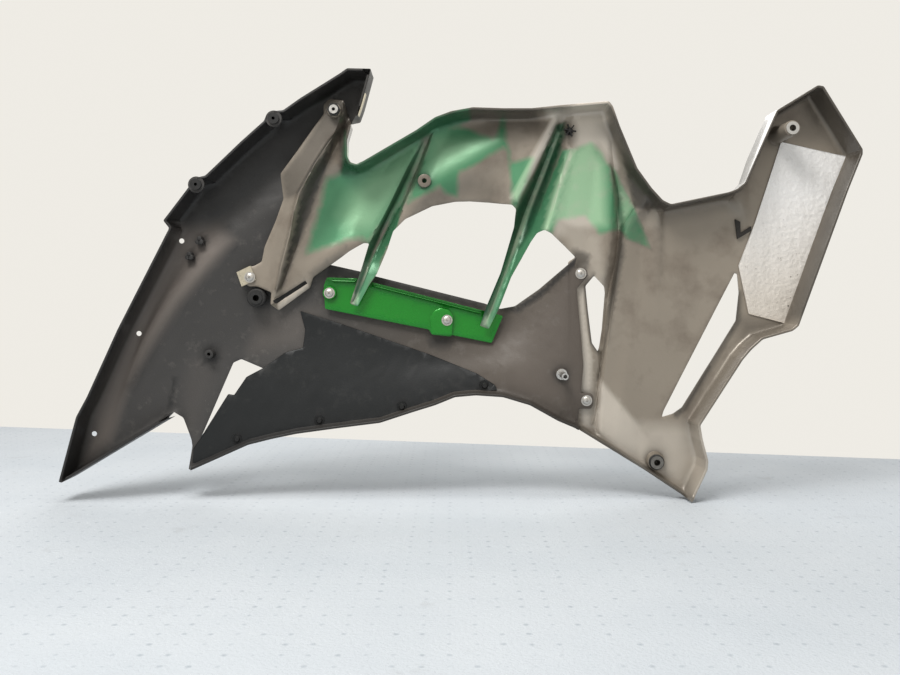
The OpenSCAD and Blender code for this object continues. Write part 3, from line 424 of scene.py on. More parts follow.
def shell(face, outline, holes, rims, bosses, spacing, front_shift, back_shift,
          fields=(), ribs=(), corner=1.6, edge_round=0.6, relax=3, bump=None):
    """A moulding: an inner face with rim walls, an outer face, and the edges between them.
    rims are (path, depth of the rim's top), with painted shade along the foot. bosses are
    (centre, radius), with painted shade round the foot.
    fields are (channel, amount, softness, polygon), drawn as the outlines are: green, light and
    shade colour the surface, and plain lessens the shade along a rim's foot. ribs are (path,
    height, half width)."""
    outline = rounded(outline, corner)
    holes = [rounded(h, 1.5) if len(h) < 20 else h for h in holes]
    step = spacing * 1.3
    chains = [(subdivided(outline, step, True), True)]
    for h in holes:
        chains.append((subdivided(h, step, True), True))
    for path, _ in rims:
        for d in (*RIM_TOP, RIM_WALL, *RIM_FOOT):
            q = subdivided(offset(rounded(path, 1.2, False), d, False), step, False)
            chains += runs(q, inside(np.array(q), outline)
                           & (segment_distance(np.array(q), outline, True) > d * 0.8))
    for ring in [outline] + holes:
        q = subdivided(offset(ring, edge_round if ring is outline else -edge_round, True), step, True)
        ok = np.ones(len(q), bool)
        for path, _ in rims:
            ok &= segment_distance(np.array(q), path) > EDGE_FROM_RIM
        chains += runs(q, ok)
    rib_lines = [offset(path, d, False) if d else path for path, _, w in ribs for d in (-w, 0, w)]
    borders = [plan(poly + poly[:1], RIM_DEPTH) for _, _, soft, poly in fields if soft < 5]
    for line in list(face["lines"]) + rib_lines + borders:
        q = subdivided(line, step, False)
        arr = np.array(q)
        ok = inside(arr, outline) & (segment_distance(arr, outline, True) > 1.0)
        for h in holes:
            ok &= ~inside(arr, h) & (segment_distance(arr, h, True) > 1.0)
        for path, _ in rims:
            ok &= segment_distance(arr, path) > LINE_FROM_RIM
        chains += runs(q, ok)
    v, f = cdt(chains, spacing, outline, holes)
    skin = np.array([depth_at(face, *p) for p in v], float)
    good = ~np.isnan(skin)
    for i in np.where(~good)[0]:
        skin[i] = skin[good][np.argmin(np.linalg.norm(v[good] - v[i], axis=1))]
    to_edge = segment_distance(v, outline, True)
    for h in holes:
        to_edge = np.minimum(to_edge, segment_distance(v, h, True))
    free = to_edge > 0.1
    skin = relaxed(skin, f, free, relax)
    front, back = skin + front_shift, np.minimum(skin + back_shift, DEEPEST)
    for path, height, width in ribs:
        front = front - height * np.clip(1 - segment_distance(v, path) / width, 0, 1)
    rim_t = np.full(len(v), 1e9)
    for path, top in rims:
        t = segment_distance(v, path)
        rim_t = np.minimum(rim_t, t)
        wall_top = top + np.interp(t, [0, *RIM_TOP, RIM_WALL], [RIM_ROUND, 0, 0, RIM_ROUND])
        foot = front - np.interp(t, RIM_FOOT, FOOT_RISE)
        blend = np.clip(t - RIM_WALL, 0, 1)
        wall = np.where(t <= RIM_WALL + 0.05, wall_top, (1 - blend) * (top + RIM_ROUND) + blend * foot)
        front = np.where(t < RIM_FOOT[-1], np.minimum(front, wall), front)
    bare = rim_t > RIM_WALL
    front = np.where(bare, front + np.interp(to_edge, [0, edge_round], [edge_round * 0.6, 0]), front)
    inset = np.clip(OUTER_ROUND - to_edge, 0, OUTER_ROUND)
    back = back - (OUTER_ROUND - np.sqrt(np.maximum(OUTER_ROUND ** 2 - inset ** 2, 0))) * OUTER_SHARE
    if bump is not None:
        lift = bump(v) * np.clip(to_edge / 4, 0, 1)
        front, back = front + lift, back + lift
    n = len(v)
    points = np.zeros((2 * n, 3))
    points[:n, 0] = points[n:, 0] = v[:, 0]
    points[:n, 2] = points[n:, 2] = v[:, 1]
    points[:n, 1], points[n:, 1] = front + MOUTH, back + MOUTH
    area = np.cross(v[f[:, 1]] - v[f[:, 0]], v[f[:, 2]] - v[f[:, 0]])
    f = np.where((area > 0)[:, None], f, f[:, ::-1])
    edges = {}
    for t in f:
        for a, b in ((t[0], t[1]), (t[1], t[2]), (t[2], t[0])):
            edges[(a, b)] = edges.get((a, b), 0) + 1
    border = [(a, b) for (a, b) in edges if (b, a) not in edges]
    faces = [tuple(t) for t in f] + [tuple(n + t[::-1]) for t in f]
    faces += [(b, a, n + a, n + b) for a, b in border]
    paint = {channel: np.zeros(n) for channel in ("green", "light", "shade", "plain")}
    seen = drawn(v, front)
    for channel, amount, soft, poly in fields:
        value = soft_inside(seen, poly, soft)
        paint[channel] = paint[channel] * (1 - value) + amount * value
    # Painted shade along each rim's foot and round each boss, taken off where plain is painted
    shade = np.maximum(paint["shade"], fading(rim_t - RIM_WALL, RIM_SHADE) * (1 - paint.pop("plain")))
    for c, r in bosses:
        shade = np.maximum(shade, fading(np.linalg.norm(v - np.array(c), axis=1) - r, BOSS_SHADE))
    paint["shade"] = shade
    paint = {k: np.concatenate([a, a if k == "green" else np.zeros(n)]) for k, a in paint.items()}
    kinds = np.concatenate([np.zeros(len(f)), np.ones(len(f) + len(border))]).astype(int)
    return {"points": points, "faces": faces, "kind": kinds, "paint": paint}


def lathe(centre, profile, n=40, shade=0.25):
    """A round feature about an axis along Y. The profile is (radius, depth) pairs. shade is an even painted
    shade over the whole feature.
    """
    rings, points, faces = [], [], []
    for r, d in profile:
        ring = circle(centre, r, n if r > 0 else 1)
        rings.append(range(len(points), len(points) + len(ring)))
        points += [(x, d + MOUTH, z) for x, z in ring]
    for a, b in zip(rings, rings[1:]):
        for i in range(n):
            quad = [ring[k % len(ring)] for ring, k in ((a, i + 1), (b, i + 1), (b, i), (a, i))]
            faces.append(tuple(dict.fromkeys(quad)))
    paint = {"green": np.zeros(len(points)), "light": np.zeros(len(points)),
             "shade": np.full(len(points), shade)}
    return {"points": np.array(points, float), "faces": faces, "kind": np.zeros(len(faces), int),
            "paint": paint}


def build(name, chunks, materials, replaced):
    """One visible piece from its chunks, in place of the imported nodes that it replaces."""
    points, faces, kind = [], [], []
    base = 0
    for c in chunks:
        points.append(c["points"])
        faces += [tuple(int(i) + base for i in f) for f in c["faces"]]
        kind.append(c["kind"])
        base += len(c["points"])
    mesh = bpy.data.meshes.new(name)
    mesh.from_pydata([tuple(p) for p in np.concatenate(points) / 1000], [], faces)
    mesh.update()
    ob = bpy.data.objects.new(name, mesh)
    bpy.context.scene.collection.objects.link(ob)
    for m in materials:
        mesh.materials.append(m)
    kinds = np.concatenate(kind).astype(np.int32)
    mesh.polygons.foreach_set("material_index", kinds[:len(mesh.polygons)])
    for channel in ("green", "light", "shade"):
        values = np.concatenate([c["paint"][channel] for c in chunks]).astype(np.float32)
        mesh.attributes.new(channel, "FLOAT", "POINT").data.foreach_set("value", values)
    mesh.polygons.foreach_set("use_smooth", np.ones(len(mesh.polygons), bool))
    mesh.set_sharp_from_angle(angle=math.radians(SMOOTH_BELOW))
    mesh.validate()
    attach(ob, "root")
    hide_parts(*replaced)


# Materials. Object coordinates are the shared frame's, so textures keep their real scale.
class Shader:
    def __init__(self, name, **values):
        self.material = bpy.data.materials.new(name)
        self.material.use_nodes = True
        self.tree = self.material.node_tree
        self.bsdf = self.tree.nodes["Principled BSDF"]
        self.coord = self.tree.nodes.new("ShaderNodeTexCoord").outputs["Object"]
        for key, value in values.items():
            socket = self.bsdf.inputs[key.replace("_", " ")]
            socket.default_value = (*value, 1) if isinstance(value, tuple) else value

    def node(self, kind, **inputs):
        n = self.tree.nodes.new(kind)
        for key, value in inputs.items():
            self.put(n.inputs[key], value)
        return n

    def put(self, socket, value):
        if isinstance(value, bpy.types.NodeSocket):
            self.tree.links.new(value, socket)
        elif isinstance(value, tuple):
            socket.default_value = (*value, 1) if len(value) == 3 and socket.type == "RGBA" else value
        else:
            socket.default_value = value

    def noise(self, scale, detail=4.0, rough=0.55):
        return self.node("ShaderNodeTexNoise", Vector=self.coord, Scale=float(scale),
                         Detail=float(detail), Roughness=rough).outputs["Fac"]

    def cells(self, scale):
        return self.node("ShaderNodeTexVoronoi", Vector=self.coord, Scale=float(scale)).outputs["Distance"]

    def band(self, value, low, high, out_low=0.0, out_high=1.0):
        n = self.node("ShaderNodeMapRange", Value=value)
        n.inputs["From Min"].default_value = low
        n.inputs["From Max"].default_value = high
        n.inputs["To Min"].default_value = out_low
        n.inputs["To Max"].default_value = out_high
        return n.outputs["Result"]

    def maths(self, operation, a, b):
        n = self.tree.nodes.new("ShaderNodeMath")
        n.operation = operation
        self.put(n.inputs[0], a)
        self.put(n.inputs[1], b)
        return n.outputs[0]

    def times(self, a, b):
        return self.maths("MULTIPLY", a, b)

    def mix(self, share, a, b):
        n = self.tree.nodes.new("ShaderNodeMix")
        n.data_type = "RGBA"
        self.put(n.inputs[0], share)
        self.put(n.inputs[6], a)
        self.put(n.inputs[7], b)
        return n.outputs[2]

    def over(self, colour, value, amount, other):
        return self.mix(self.times(value, amount), colour, other)

    def specks(self, scale, near, far, patches, low, high):
        spots = self.band(self.cells(scale), near, far, 1.0, 0.0)
        return self.times(spots, self.band(self.noise(patches, 2), low, high))

    def attribute(self, name):
        n = self.tree.nodes.new("ShaderNodeAttribute")
        n.attribute_name = name
        return n.outputs["Fac"]

    def along(self, axis):
        return self.node("ShaderNodeSeparateXYZ", Vector=self.coord).outputs[axis]

    def bump(self, height, distance, strength=0.5):
        n = self.node("ShaderNodeBump", Height=height)
        n.inputs["Strength"].default_value = strength
        n.inputs["Distance"].default_value = distance
        self.tree.links.new(n.outputs[0], self.bsdf.inputs["Normal"])

    def colour(self, value):
        self.put(self.bsdf.inputs["Base Color"], value)

    def rough(self, scale, detail, low, high):
        self.put(self.bsdf.inputs["Roughness"], self.band(self.noise(scale, detail), 0.3, 0.7, low, high))


def inner_paint():
    """Overspray on the inside of the upper cowl: warm grey with green fields."""
    s = Shader("inner_paint", Metallic=0.25, Specular_IOR_Level=0.45, Coat_Weight=0.15, Coat_Roughness=0.28)
    grey = s.mix(s.noise(9, 5), (0.225, 0.190, 0.150), (0.335, 0.292, 0.238))
    grey = s.mix(s.band(s.noise(28, 6), 0.5, 0.75), grey, (0.19, 0.155, 0.122))
    green = s.mix(s.noise(12, 4), (0.052, 0.205, 0.095), (0.105, 0.31, 0.16))
    # Painted highlight: the light attribute lightens the grey and the green, and in places gives a lighter
    # tone
    grey = s.mix(s.attribute("light"), grey, (0.68, 0.62, 0.54))
    green = s.mix(s.attribute("light"), green, (0.44, 0.66, 0.42))
    edge = s.maths("ADD", s.attribute("green"), s.band(s.noise(75, 4), 0.3, 0.7, -0.12, 0.12))
    colour = s.mix(s.band(edge, 0.2, 0.85), grey, green)
    colour = s.over(colour, s.specks(210, 0.035, 0.06, 33, 0.56, 0.6), 0.6, (0.09, 0.08, 0.07))
    # Painted shade: the shade attribute darkens the colour, towards dark green on the green fields
    shaded = s.mix(s.band(edge, 0.2, 0.85), (0.026, 0.024, 0.021), (0.008, 0.05, 0.022))
    colour = s.over(colour, s.attribute("shade"), 0.9, shaded)
    s.colour(colour)
    s.rough(45, 5, 0.30, 0.46)
    s.bump(s.noise(520, 3), 0.0004, 0.25)
    return s.material


def outer_paint():
    """The painted outside of the upper cowl."""
    s = Shader("outer_paint", Metallic=0.7, Coat_Weight=0.6, Coat_Roughness=0.08)
    grey = s.mix(s.noise(900, 1), (0.10, 0.095, 0.088), (0.17, 0.16, 0.15))
    green = s.mix(s.noise(900, 1), (0.02, 0.26, 0.04), (0.05, 0.38, 0.07))
    s.colour(s.mix(s.band(s.attribute("green"), 0.45, 0.55), grey, green))
    s.rough(40, 3, 0.24, 0.32)
    return s.material


def dark_plastic():
    """The dusty inside of the lower cowl, browner towards the rear."""
    s = Shader("dark_plastic", Specular_IOR_Level=0.4)
    grey = s.mix(s.noise(11, 5), (0.038, 0.036, 0.035), (0.058, 0.055, 0.052))
    brown = s.mix(s.noise(16, 5), (0.068, 0.055, 0.044), (0.105, 0.086, 0.070))
    rearwards = s.band(s.along("X"), -0.50, -0.30)
    colour = s.mix(rearwards, grey, brown)
    # Painted highlight on lit facets, from the light attribute
    colour = s.mix(s.attribute("light"), colour, (0.175, 0.15, 0.132))
    dust = s.band(s.noise(70, 8, 0.7), 0.56, 0.72)
    colour = s.over(colour, dust, 0.35, (0.17, 0.155, 0.14))
    colour = s.over(colour, s.specks(170, 0.03, 0.05, 27, 0.5, 0.56), 0.5, (0.32, 0.30, 0.27))
    # Painted shade from the shade attribute
    colour = s.over(colour, s.attribute("shade"), 0.85, (0.009, 0.009, 0.009))
    s.colour(colour)
    s.rough(30, 6, 0.42, 0.62)
    s.bump(s.noise(800, 2), 0.0003, 0.35)
    return s.material


def satin_black():
    """The outside of the lower cowl."""
    s = Shader("satin_black", Specular_IOR_Level=0.3)
    s.colour(s.mix(s.noise(14, 4), (0.014, 0.014, 0.015), (0.025, 0.025, 0.026)))
    s.rough(60, 4, 0.42, 0.55)
    return s.material


def sheet_plastic():
    """The satin sheet over the belly."""
    s = Shader("sheet_plastic", Specular_IOR_Level=0.3)
    colour = s.mix(s.noise(13, 5), (0.007, 0.0082, 0.009), (0.014, 0.0155, 0.0165))
    dust = s.band(s.noise(60, 8, 0.7), 0.55, 0.75)
    colour = s.over(colour, dust, 0.18, (0.085, 0.082, 0.075))
    # Painted shade round the rivets, from the shade attribute
    colour = s.over(colour, s.attribute("shade"), 0.8, (0.008, 0.008, 0.008))
    s.colour(colour)
    s.rough(30, 6, 0.38, 0.55)
    s.bump(s.noise(700, 2), 0.0003, 0.3)
    return s.material


def foil():
    """Crinkled foil, warmer and dirtier towards its lower end."""
    s = Shader("foil", Metallic=0.22)
    dirt = s.band(s.noise(120, 8, 0.75), 0.6, 0.7)
    low = s.band(s.along("Z"), -0.06, -0.17)
    colour = s.mix(s.noise(25, 5), (0.94, 0.92, 0.90), (1.0, 0.985, 0.97))
    colour = s.over(colour, low, 0.7, (0.60, 0.53, 0.44))
    colour = s.over(colour, dirt, low, (0.22, 0.19, 0.16))
    s.colour(s.over(colour, s.specks(120, 0.09, 0.14, 40, 0.5, 0.58), low, (0.10, 0.08, 0.06)))
    s.rough(90, 6, 0.42, 0.6)
    wrinkle = s.maths("ADD", s.times(s.cells(210), 0.5), s.noise(330, 7, 0.7))
    s.bump(wrinkle, 0.0016, 0.5)
    return s.material


def gloss_green():
    """The colour plate's glossy moulding, a little dusty."""
    s = Shader("gloss_green", Metallic=0.3, Specular_IOR_Level=0.3, Coat_Weight=0.3, Coat_Roughness=0.08)
    colour = s.mix(s.noise(10, 4), (0.006, 0.18, 0.012), (0.014, 0.27, 0.022))
    dust = s.band(s.noise(55, 8, 0.7), 0.62, 0.78)
    colour = s.over(colour, dust, 0.12, (0.10, 0.16, 0.09))
    # Painted shade round the screw pads, from the shade attribute
    colour = s.over(colour, s.attribute("shade"), 0.6, (0.004, 0.03, 0.006))
    s.colour(colour)
    s.rough(50, 5, 0.22, 0.36)
    return s.material


def steel(name, light, dark, metallic=1.0, rough=(0.28, 0.45)):
    s = Shader(name, Metallic=metallic)
    colour = s.mix(s.noise(300, 6), dark, light)
    s.colour(s.mix(s.band(s.noise(650, 4), 0.62, 0.75), colour, tuple(c * 0.35 for c in dark)))
    s.rough(420, 4, *rough)
    s.bump(s.noise(1500, 3), 0.0001, 0.3)
    return s.material


def dull(name, a, b, rough=(0.5, 0.7), scale=220.0):
    s = Shader(name, Specular_IOR_Level=0.4)
    s.colour(s.mix(s.noise(scale, 5), a, b))
    s.rough(scale * 1.5, 4, *rough)
    s.bump(s.noise(scale * 5, 3), 0.0002, 0.4)
    return s.material


PAINT, OUTER = inner_paint(), outer_paint()
DARK, BLACK = dark_plastic(), satin_black()
GREEN, FOIL = gloss_green(), foil()

# Fields of colour, painted highlight and painted shade, as (channel, amount, softness, corners [right,
# down]).
# green is the paint's own green. light is painted highlight on crests and lit facets, and the lighter tan
# of the strap and end bar. shade is painted shade on walls, slits, creases and under rims. plain takes the
# painted shade off a rim's foot
# FIN_1_WALL and FIN_2_SHADED_WALL are fin walls in deep painted shade. FIN_2_FLOOR is a floor strip with a
# faint painted highlight. FIN_2_RIGHT is a green wall in light painted shade
FIN_1_WALL = [[424, 140], [409, 165], [391.7, 201], [377.4, 232.7], [368.8, 244], [350.8, 303],
    [355, 301.6], [374.5, 247], [389, 217], [404, 186], [418, 155]]
FIN_2_SHADED_WALL = [[566, 122], [560, 150], [545, 195], [534, 228], [518, 258], [496, 314], [487, 328],
    [478, 325], [486, 300], [500, 270], [511, 232], [517, 209], [538, 167], [556, 125]]
FIN_2_FLOOR = [[557, 131], [523, 217], [509, 256], [487, 314], [481, 325], [485, 326], [491, 314],
    [512.5, 257], [526.5, 219], [560.5, 133]]
FIN_2_RIGHT = [[571, 149], [556, 193], [545, 230], [531, 243], [511, 278], [499, 309], [488, 330],
    [486, 322], [507, 268], [530, 232], [545, 195], [562, 150]]
UPPER_FIELDS = [
    ("shade", 0.7, 8, [[300, 150], [331, 101], [352, 128], [330, 146], [317, 166], [301, 196], [285, 201],
        [280, 175]]),
    ("shade", 0.8, 5, [[322, 100], [352, 100], [352, 126], [342, 128], [330, 122]]),
    ("shade", 0.12, 8, [[299, 196], [285, 201], [268, 262], [272, 292], [282, 264], [293, 224]]),
    ("shade", 1.0, 2, [[341, 131], [330, 146], [317, 166], [301, 196], [295, 225], [284, 265], [277, 291],
        [282, 287], [297, 247], [311, 214], [324, 175], [337, 135]]),
    ("green", 1.0, 12, [[326, 178], [345, 172], [356, 175], [384, 158], [405, 145], [425, 131],
        [419, 158], [404, 201], [377, 232], [369, 243], [358, 237], [337, 244], [306, 254], [312, 232],
        [320, 205]]),
    ("shade", 0.5, 22, [[330, 178], [352, 184], [345, 210], [325, 240], [306, 252], [314, 215]]),
    ("light", 0.35, 22, [[352, 190], [400, 150], [418, 150], [400, 195], [377, 230], [350, 235],
        [340, 215]]),
    ("green", 1.0, 6, [[345, 130], [349, 162], [356, 164], [363, 161], [380, 151], [416, 130], [435, 117],
        [470, 107], [470, 121], [432, 132], [404, 146], [384, 159], [357, 177], [342, 176]]),
    ("shade", 0.78, 4, [[345, 120], [347, 156], [356, 164], [380, 151], [416, 130], [435, 117],
        [473, 107], [532, 107], [575, 104], [560, 108], [532, 112], [500, 116], [476, 120.5],
        [432, 130.5], [404, 144], [384, 157], [357, 176], [342, 176], [338, 150]]),
    ("green", 1.0, 9, [[432, 128], [465, 128], [493, 139], [497, 134], [504, 114], [506, 138], [512, 162],
        [535, 157], [529, 176], [517, 209], [513, 206], [508, 150], [503, 147], [480, 162], [459, 173],
        [457, 197], [446, 193], [440, 186], [408, 203], [417, 175], [428, 146]]),
    ("light", 0.3, 14, [[436, 140], [500, 138], [455, 165], [425, 180]]),
    ("shade", 0.3, 16, [[408, 206], [445, 184], [470, 176], [512, 186], [514, 206], [470, 200]]),
    ("green", 0.85, 7, [[572, 150], [591, 141], [599, 149], [611, 167], [616, 195], [618, 230],
        [599, 234], [585, 217], [559, 220], [552, 234], [543, 229], [556, 193]]),
    ("light", 0.7, 12, [[574, 150], [592, 140], [604, 165], [606, 225], [556, 235], [552, 215]]),
    ("light", 0.95, 10, [[572, 104], [607, 102], [612, 135], [616, 168], [599, 146], [575, 146]]),
    ("plain", 1.0, 5, [[536, 100], [609, 96], [616, 104], [613, 122], [575, 124], [540, 122]]),
    ("light", 0.7, 5, [[545, 107], [608, 103], [610, 118], [560, 122], [548, 118]]),
    ("light", 0.3, 9, [[560, 222], [600, 236], [606, 290], [590, 300], [586, 262], [572, 250]]),
    ("green", 0.72, 4, [[613, 166], [634, 206], [651, 249], [626, 239], [619, 228]]),
    ("light", 0.25, 5, [[615, 172], [634, 207], [620, 228], [619, 200]]),
    ("shade", 0.3, 4, [[620, 230], [634, 208], [652, 250], [626, 240]]),
    ("shade", 0.3, 12, [[648, 210], [662, 210], [700, 206], [735, 197], [737, 208], [700, 217],
        [662, 224]]),
    ("green", 0.95, 3, [[404, 201], [396, 232], [385, 252], [377, 274], [369, 286], [358, 308],
        [352, 305], [364, 280], [372, 258], [384, 234], [396, 210]]),
    ("shade", 0.4, 3, [[404, 201], [396, 232], [385, 252], [377, 274], [366, 284], [358, 296], [356, 292],
        [364, 275], [372, 255], [384, 232], [396, 210]]),
    ("green", 0.8, 4, FIN_1_WALL),
    ("shade", 0.95, 2, FIN_1_WALL),
    ("green", 0.8, 3, FIN_2_SHADED_WALL),
    ("shade", 0.95, 2.5, FIN_2_SHADED_WALL),
    ("green", 1.0, 3, FIN_2_RIGHT),
    ("shade", 0.35, 3, FIN_2_RIGHT),
    ("green", 0.55, 1.5, FIN_2_FLOOR),
    ("shade", 0.05, 1.5, FIN_2_FLOOR),
    ("light", 0.2, 1.5, FIN_2_FLOOR),
    # Painted highlights along fin 2's two crests and on both fins' end caps
    ("light", 1.0, 4, [[556, 108], [547, 128], [511, 198], [517, 201], [552, 135], [562, 112]]),
    ("light", 1.0, 3.5, [[569, 148], [553, 193], [543, 229], [548, 231], [559, 194], [575, 150]]),
    ("light", 0.8, 2, [[352, 293], [359, 293], [358, 304], [352, 304]]),
    ("light", 0.9, 2, [[481, 315], [489, 315], [488, 326], [480, 326]]),
    ("shade", 0.92, 3, [[609, 101], [620, 126], [637, 168], [652, 188], [663, 200], [671, 204],
        [729, 192], [737, 189], [729, 197], [690, 206], [663, 210], [634, 208], [623, 162], [613.5, 122]]),
    ("shade", 0.9, 4, [[610, 165], [614, 178], [617, 195], [619, 230], [616, 254], [608, 300], [604, 345],
        [598, 380], [605, 345], [614, 300], [624, 254], [624, 230], [621, 200], [615, 178]]),
    ("light", 0.65, 3, [[577, 288], [584, 288], [587, 330], [592, 360], [590, 428], [582, 425],
        [582, 340]]),
    ("shade", 0.95, 1.5, [[594, 273.5], [583.5, 285], [586, 311], [590, 343], [598, 354], [599, 350.5],
        [593, 342], [589, 311], [587, 287], [594.5, 278]]),
    ("light", 0.5, 2, [[574.5, 268], [588, 262], [589.5, 275], [577, 289]]),
    ("light", 0.65, 5, [[600, 380], [657, 447], [643, 470], [592, 427]]),
    ("light", 0.5, 16, [[640, 425], [700, 425], [722, 445], [708, 495], [692, 500], [650, 470]]),
    ("shade", 0.55, 3, [[584, 434], [648, 473], [692, 502], [695, 497], [650, 467], [592, 427]]),
    ("shade", 0.5, 14, [[740, 318], [800, 320], [790, 335], [745, 362], [702, 425], [690, 425],
        [738, 345]]),
    ("shade", 0.9, 5, [[735, 290], [741, 292], [740, 322], [687, 410], [676, 418], [671, 412], [682, 405],
        [734, 320]]),
    ("shade", 0.28, 14, [[775, 112], [818, 95], [850, 148], [780, 138]]),
    ("plain", 0.9, 12, [[800, 320], [760, 330], [735, 350], [690, 420], [690, 500], [700, 515],
        [720, 470], [715, 430], [770, 360], [810, 340]]),
    ("shade", 0.75, 3, [[572, 250], [578, 250], [590, 254], [588, 274], [576, 268]]),
    ("shade", 0.35, 3, [[309, 273], [362, 236], [368, 243], [313, 280]]),
    ("light", 0.5, 3, [[275, 305], [279, 310], [309, 288], [306, 282]]),
    ("shade", 0.35, 8, [[814, 96], [852, 147], [848, 160], [800, 110]]),
]
# The lower cowl: painted highlight on its lit front facets, and painted shade at its dark top, along its
# seam and in its slit
LOWER_FIELDS = [
    ("light", 1.0, 14, [[176, 230], [215, 222], [232, 241], [205, 272], [178, 304], [147, 352],
        [127, 386], [110, 440], [85, 462], [95, 410], [130, 330]]),
    ("shade", 0.3, 3, [[232, 241], [205, 272], [178, 304], [147, 352], [127, 386], [135, 390], [156, 356],
        [186, 310], [212, 278], [238, 246]]),
    ("shade", 0.2, 20, [[232, 241], [275, 250], [262, 330], [200, 345], [150, 390], [180, 305]]),
    ("light", 0.12, 14, [[190, 360], [225, 350], [205, 400], [190, 455], [180, 410]]),
    ("light", 0.35, 18, [[262, 305], [320, 310], [300, 345], [250, 352]]),
    ("shade", 0.85, 36, [[190, 170], [347, 55], [380, 87], [345, 120], [300, 165], [262, 215], [215, 232],
        [165, 228]]),
    ("shade", 1.0, 2.5, [[328, 262], [486, 302], [487, 312], [371, 284], [327, 277]]),
    ("light", 0.25, 30, [[500, 330], [575, 270], [580, 400], [560, 410], [505, 390]]),
    ("shade", 0.8, 4, [[426, 336], [452, 336], [450, 348], [430, 348]]),
    ("shade", 1.0, 3, [[498, 309], [516, 306], [541, 289], [577, 256], [577, 264], [543, 296],
        [517, 313]]),
    ("shade", 0.95, 2, [[174, 377], [178, 377], [171, 411], [167, 412]]),
    ("shade", 0.8, 3, [[212, 342], [223, 360], [200, 366]]),
]

# Fine raised lines along the creases, as (path, height, half width)
RIDGES = [
    ([[342, 128], [329, 144], [316, 164], [299, 194], [293, 224], [282, 264], [277, 289]], 1.1, 1.3),
    ([[632, 209], [621.5, 230], [618.5, 254], [608.5, 335], [594, 420]], 0.8, 1.1),
    ([[598, 352], [601, 380], [592, 424]], 0.5, 0.9),
    ([[436, 127], [420, 158], [404.6, 201]], 0.7, 1.1),
    ([[387, 226], [371, 264], [357, 298]], 0.6, 1.0),
]

upper_face = surface(UPPER_LINES, RIM_DEPTH, 1)
lower_face = surface(LOWER_LINES, LOWER_DEPTH, 4)

rear_upper = (0.0, 0.0)
rear_lower = at([656.3, 462], 22)[::2]
top_point = at([334, 110], 12)[::2]
front_point = at([256, 298], 18)[::2]
ring = at([424.5, 181.2], RIM_DEPTH)[::2]
star = at([568.7, 132], RIM_DEPTH)[::2]
straps = [at(p, LOWER_DEPTH - 10)[::2] for p in ([580.8, 273.5], [586.6, 400.5])]
towers = [at(p, RIM_DEPTH)[::2] for p in ([200.5, 241], [190.7, 256.4])]
gusset = at([210, 354], RIM_DEPTH)[::2]
stud = at([561.3, 374], LOWER_DEPTH - 10)[::2]
clip = at([249.8, 277.3], RIM_DEPTH - 8.3)[::2]
plates = [at(p, LOWER_DEPTH - 3)[::2] for p in ([329.4, 293], [447, 320.2])]
pins = [at(p, RIM_DEPTH)[::2] for p in ([181, 240.8], [138.2, 333.6], [94.4, 433.7])]
rivets = [at(p, 20)[::2] for p in ([236, 440], [319, 421], [401.7, 407], [484.7, 385.8])]
edge_clips = [at(p, 0)[::2] for p in ([273.5, 118.5], [196, 184.5])]


def ground(face, c):
    return depth_at(face, *c) or RIM_DEPTH


def post(face, c, r, top, bore, flare=2.0, floor=None, shade=0.25):
    """A round post on the face, flared at its foot. Its bore ends at the floor, or at its foot."""
    around = [(c[0] + r * math.cos(a), c[1] + r * math.sin(a)) for a in (0, 1.6, 3.1, 4.7)]
    d = max(ground(face, p) for p in around) + 0.8
    profile = [(r + flare, d), (r + flare * 0.35, d - flare * 0.7), (r, d - flare * 1.5), (r, top + 0.5),
               (r - 0.15, top + 0.15), (r - 0.5, top)]
    if bore > 0:
        end = d if floor is None else floor
        profile += [(bore + 0.3, top), (bore, top + 0.4), (bore, end), (0, end)]
    else:
        profile += [(0, top)]
    return lathe(c, profile, shade=shade)


# The upper cowl's posts: centre, radius, top, bore, flare and, where it isn't the face, the bore's floor
UPPER_POSTS = [
    (rear_upper, 7.7, -POST_OUT, 4.6, 3.0, 1.0), (rear_lower, 8.6, 22, 6.0), (top_point, 7.0, 12, 3.1),
    (ring, 6.8, 25, 2.4, 0.8), (star, 3.4, ground(upper_face, star) - 1.5, 0, 0.6),
] + [(c, 6, LOWER_DEPTH - 10 + WALL, 0, 1.0) for c in straps]
upper_outline = (plan(UPPER_TOP, 0) + plan(UPPER_REAR, 0)[1:] + plan(UPPER_TOE, 0)[1:]
                 + plan(UPPER_LOW, RIM_DEPTH))
upper = shell(upper_face, upper_outline,
              [plan(STRAP_SLOT, RIM_DEPTH), plan(REAR_SLOT, RIM_DEPTH), plan(BAR_SLOT, RIM_DEPTH)],
              [(plan(UPPER_TOP, 0) + plan(UPPER_REAR, 0)[1:], 0), (plan(UPPER_TOE, 0), TOE_RIM)],
              [p[:2] for p in UPPER_POSTS], 3.2, 0, WALL, UPPER_FIELDS,
              [(plan(path, RIM_DEPTH), height, width) for path, height, width in RIDGES], relax=1)
build("upper_moulding", [upper] + [post(upper_face, *p) for p in UPPER_POSTS], [PAINT, OUTER],
      replaced=["upper_cowl"])

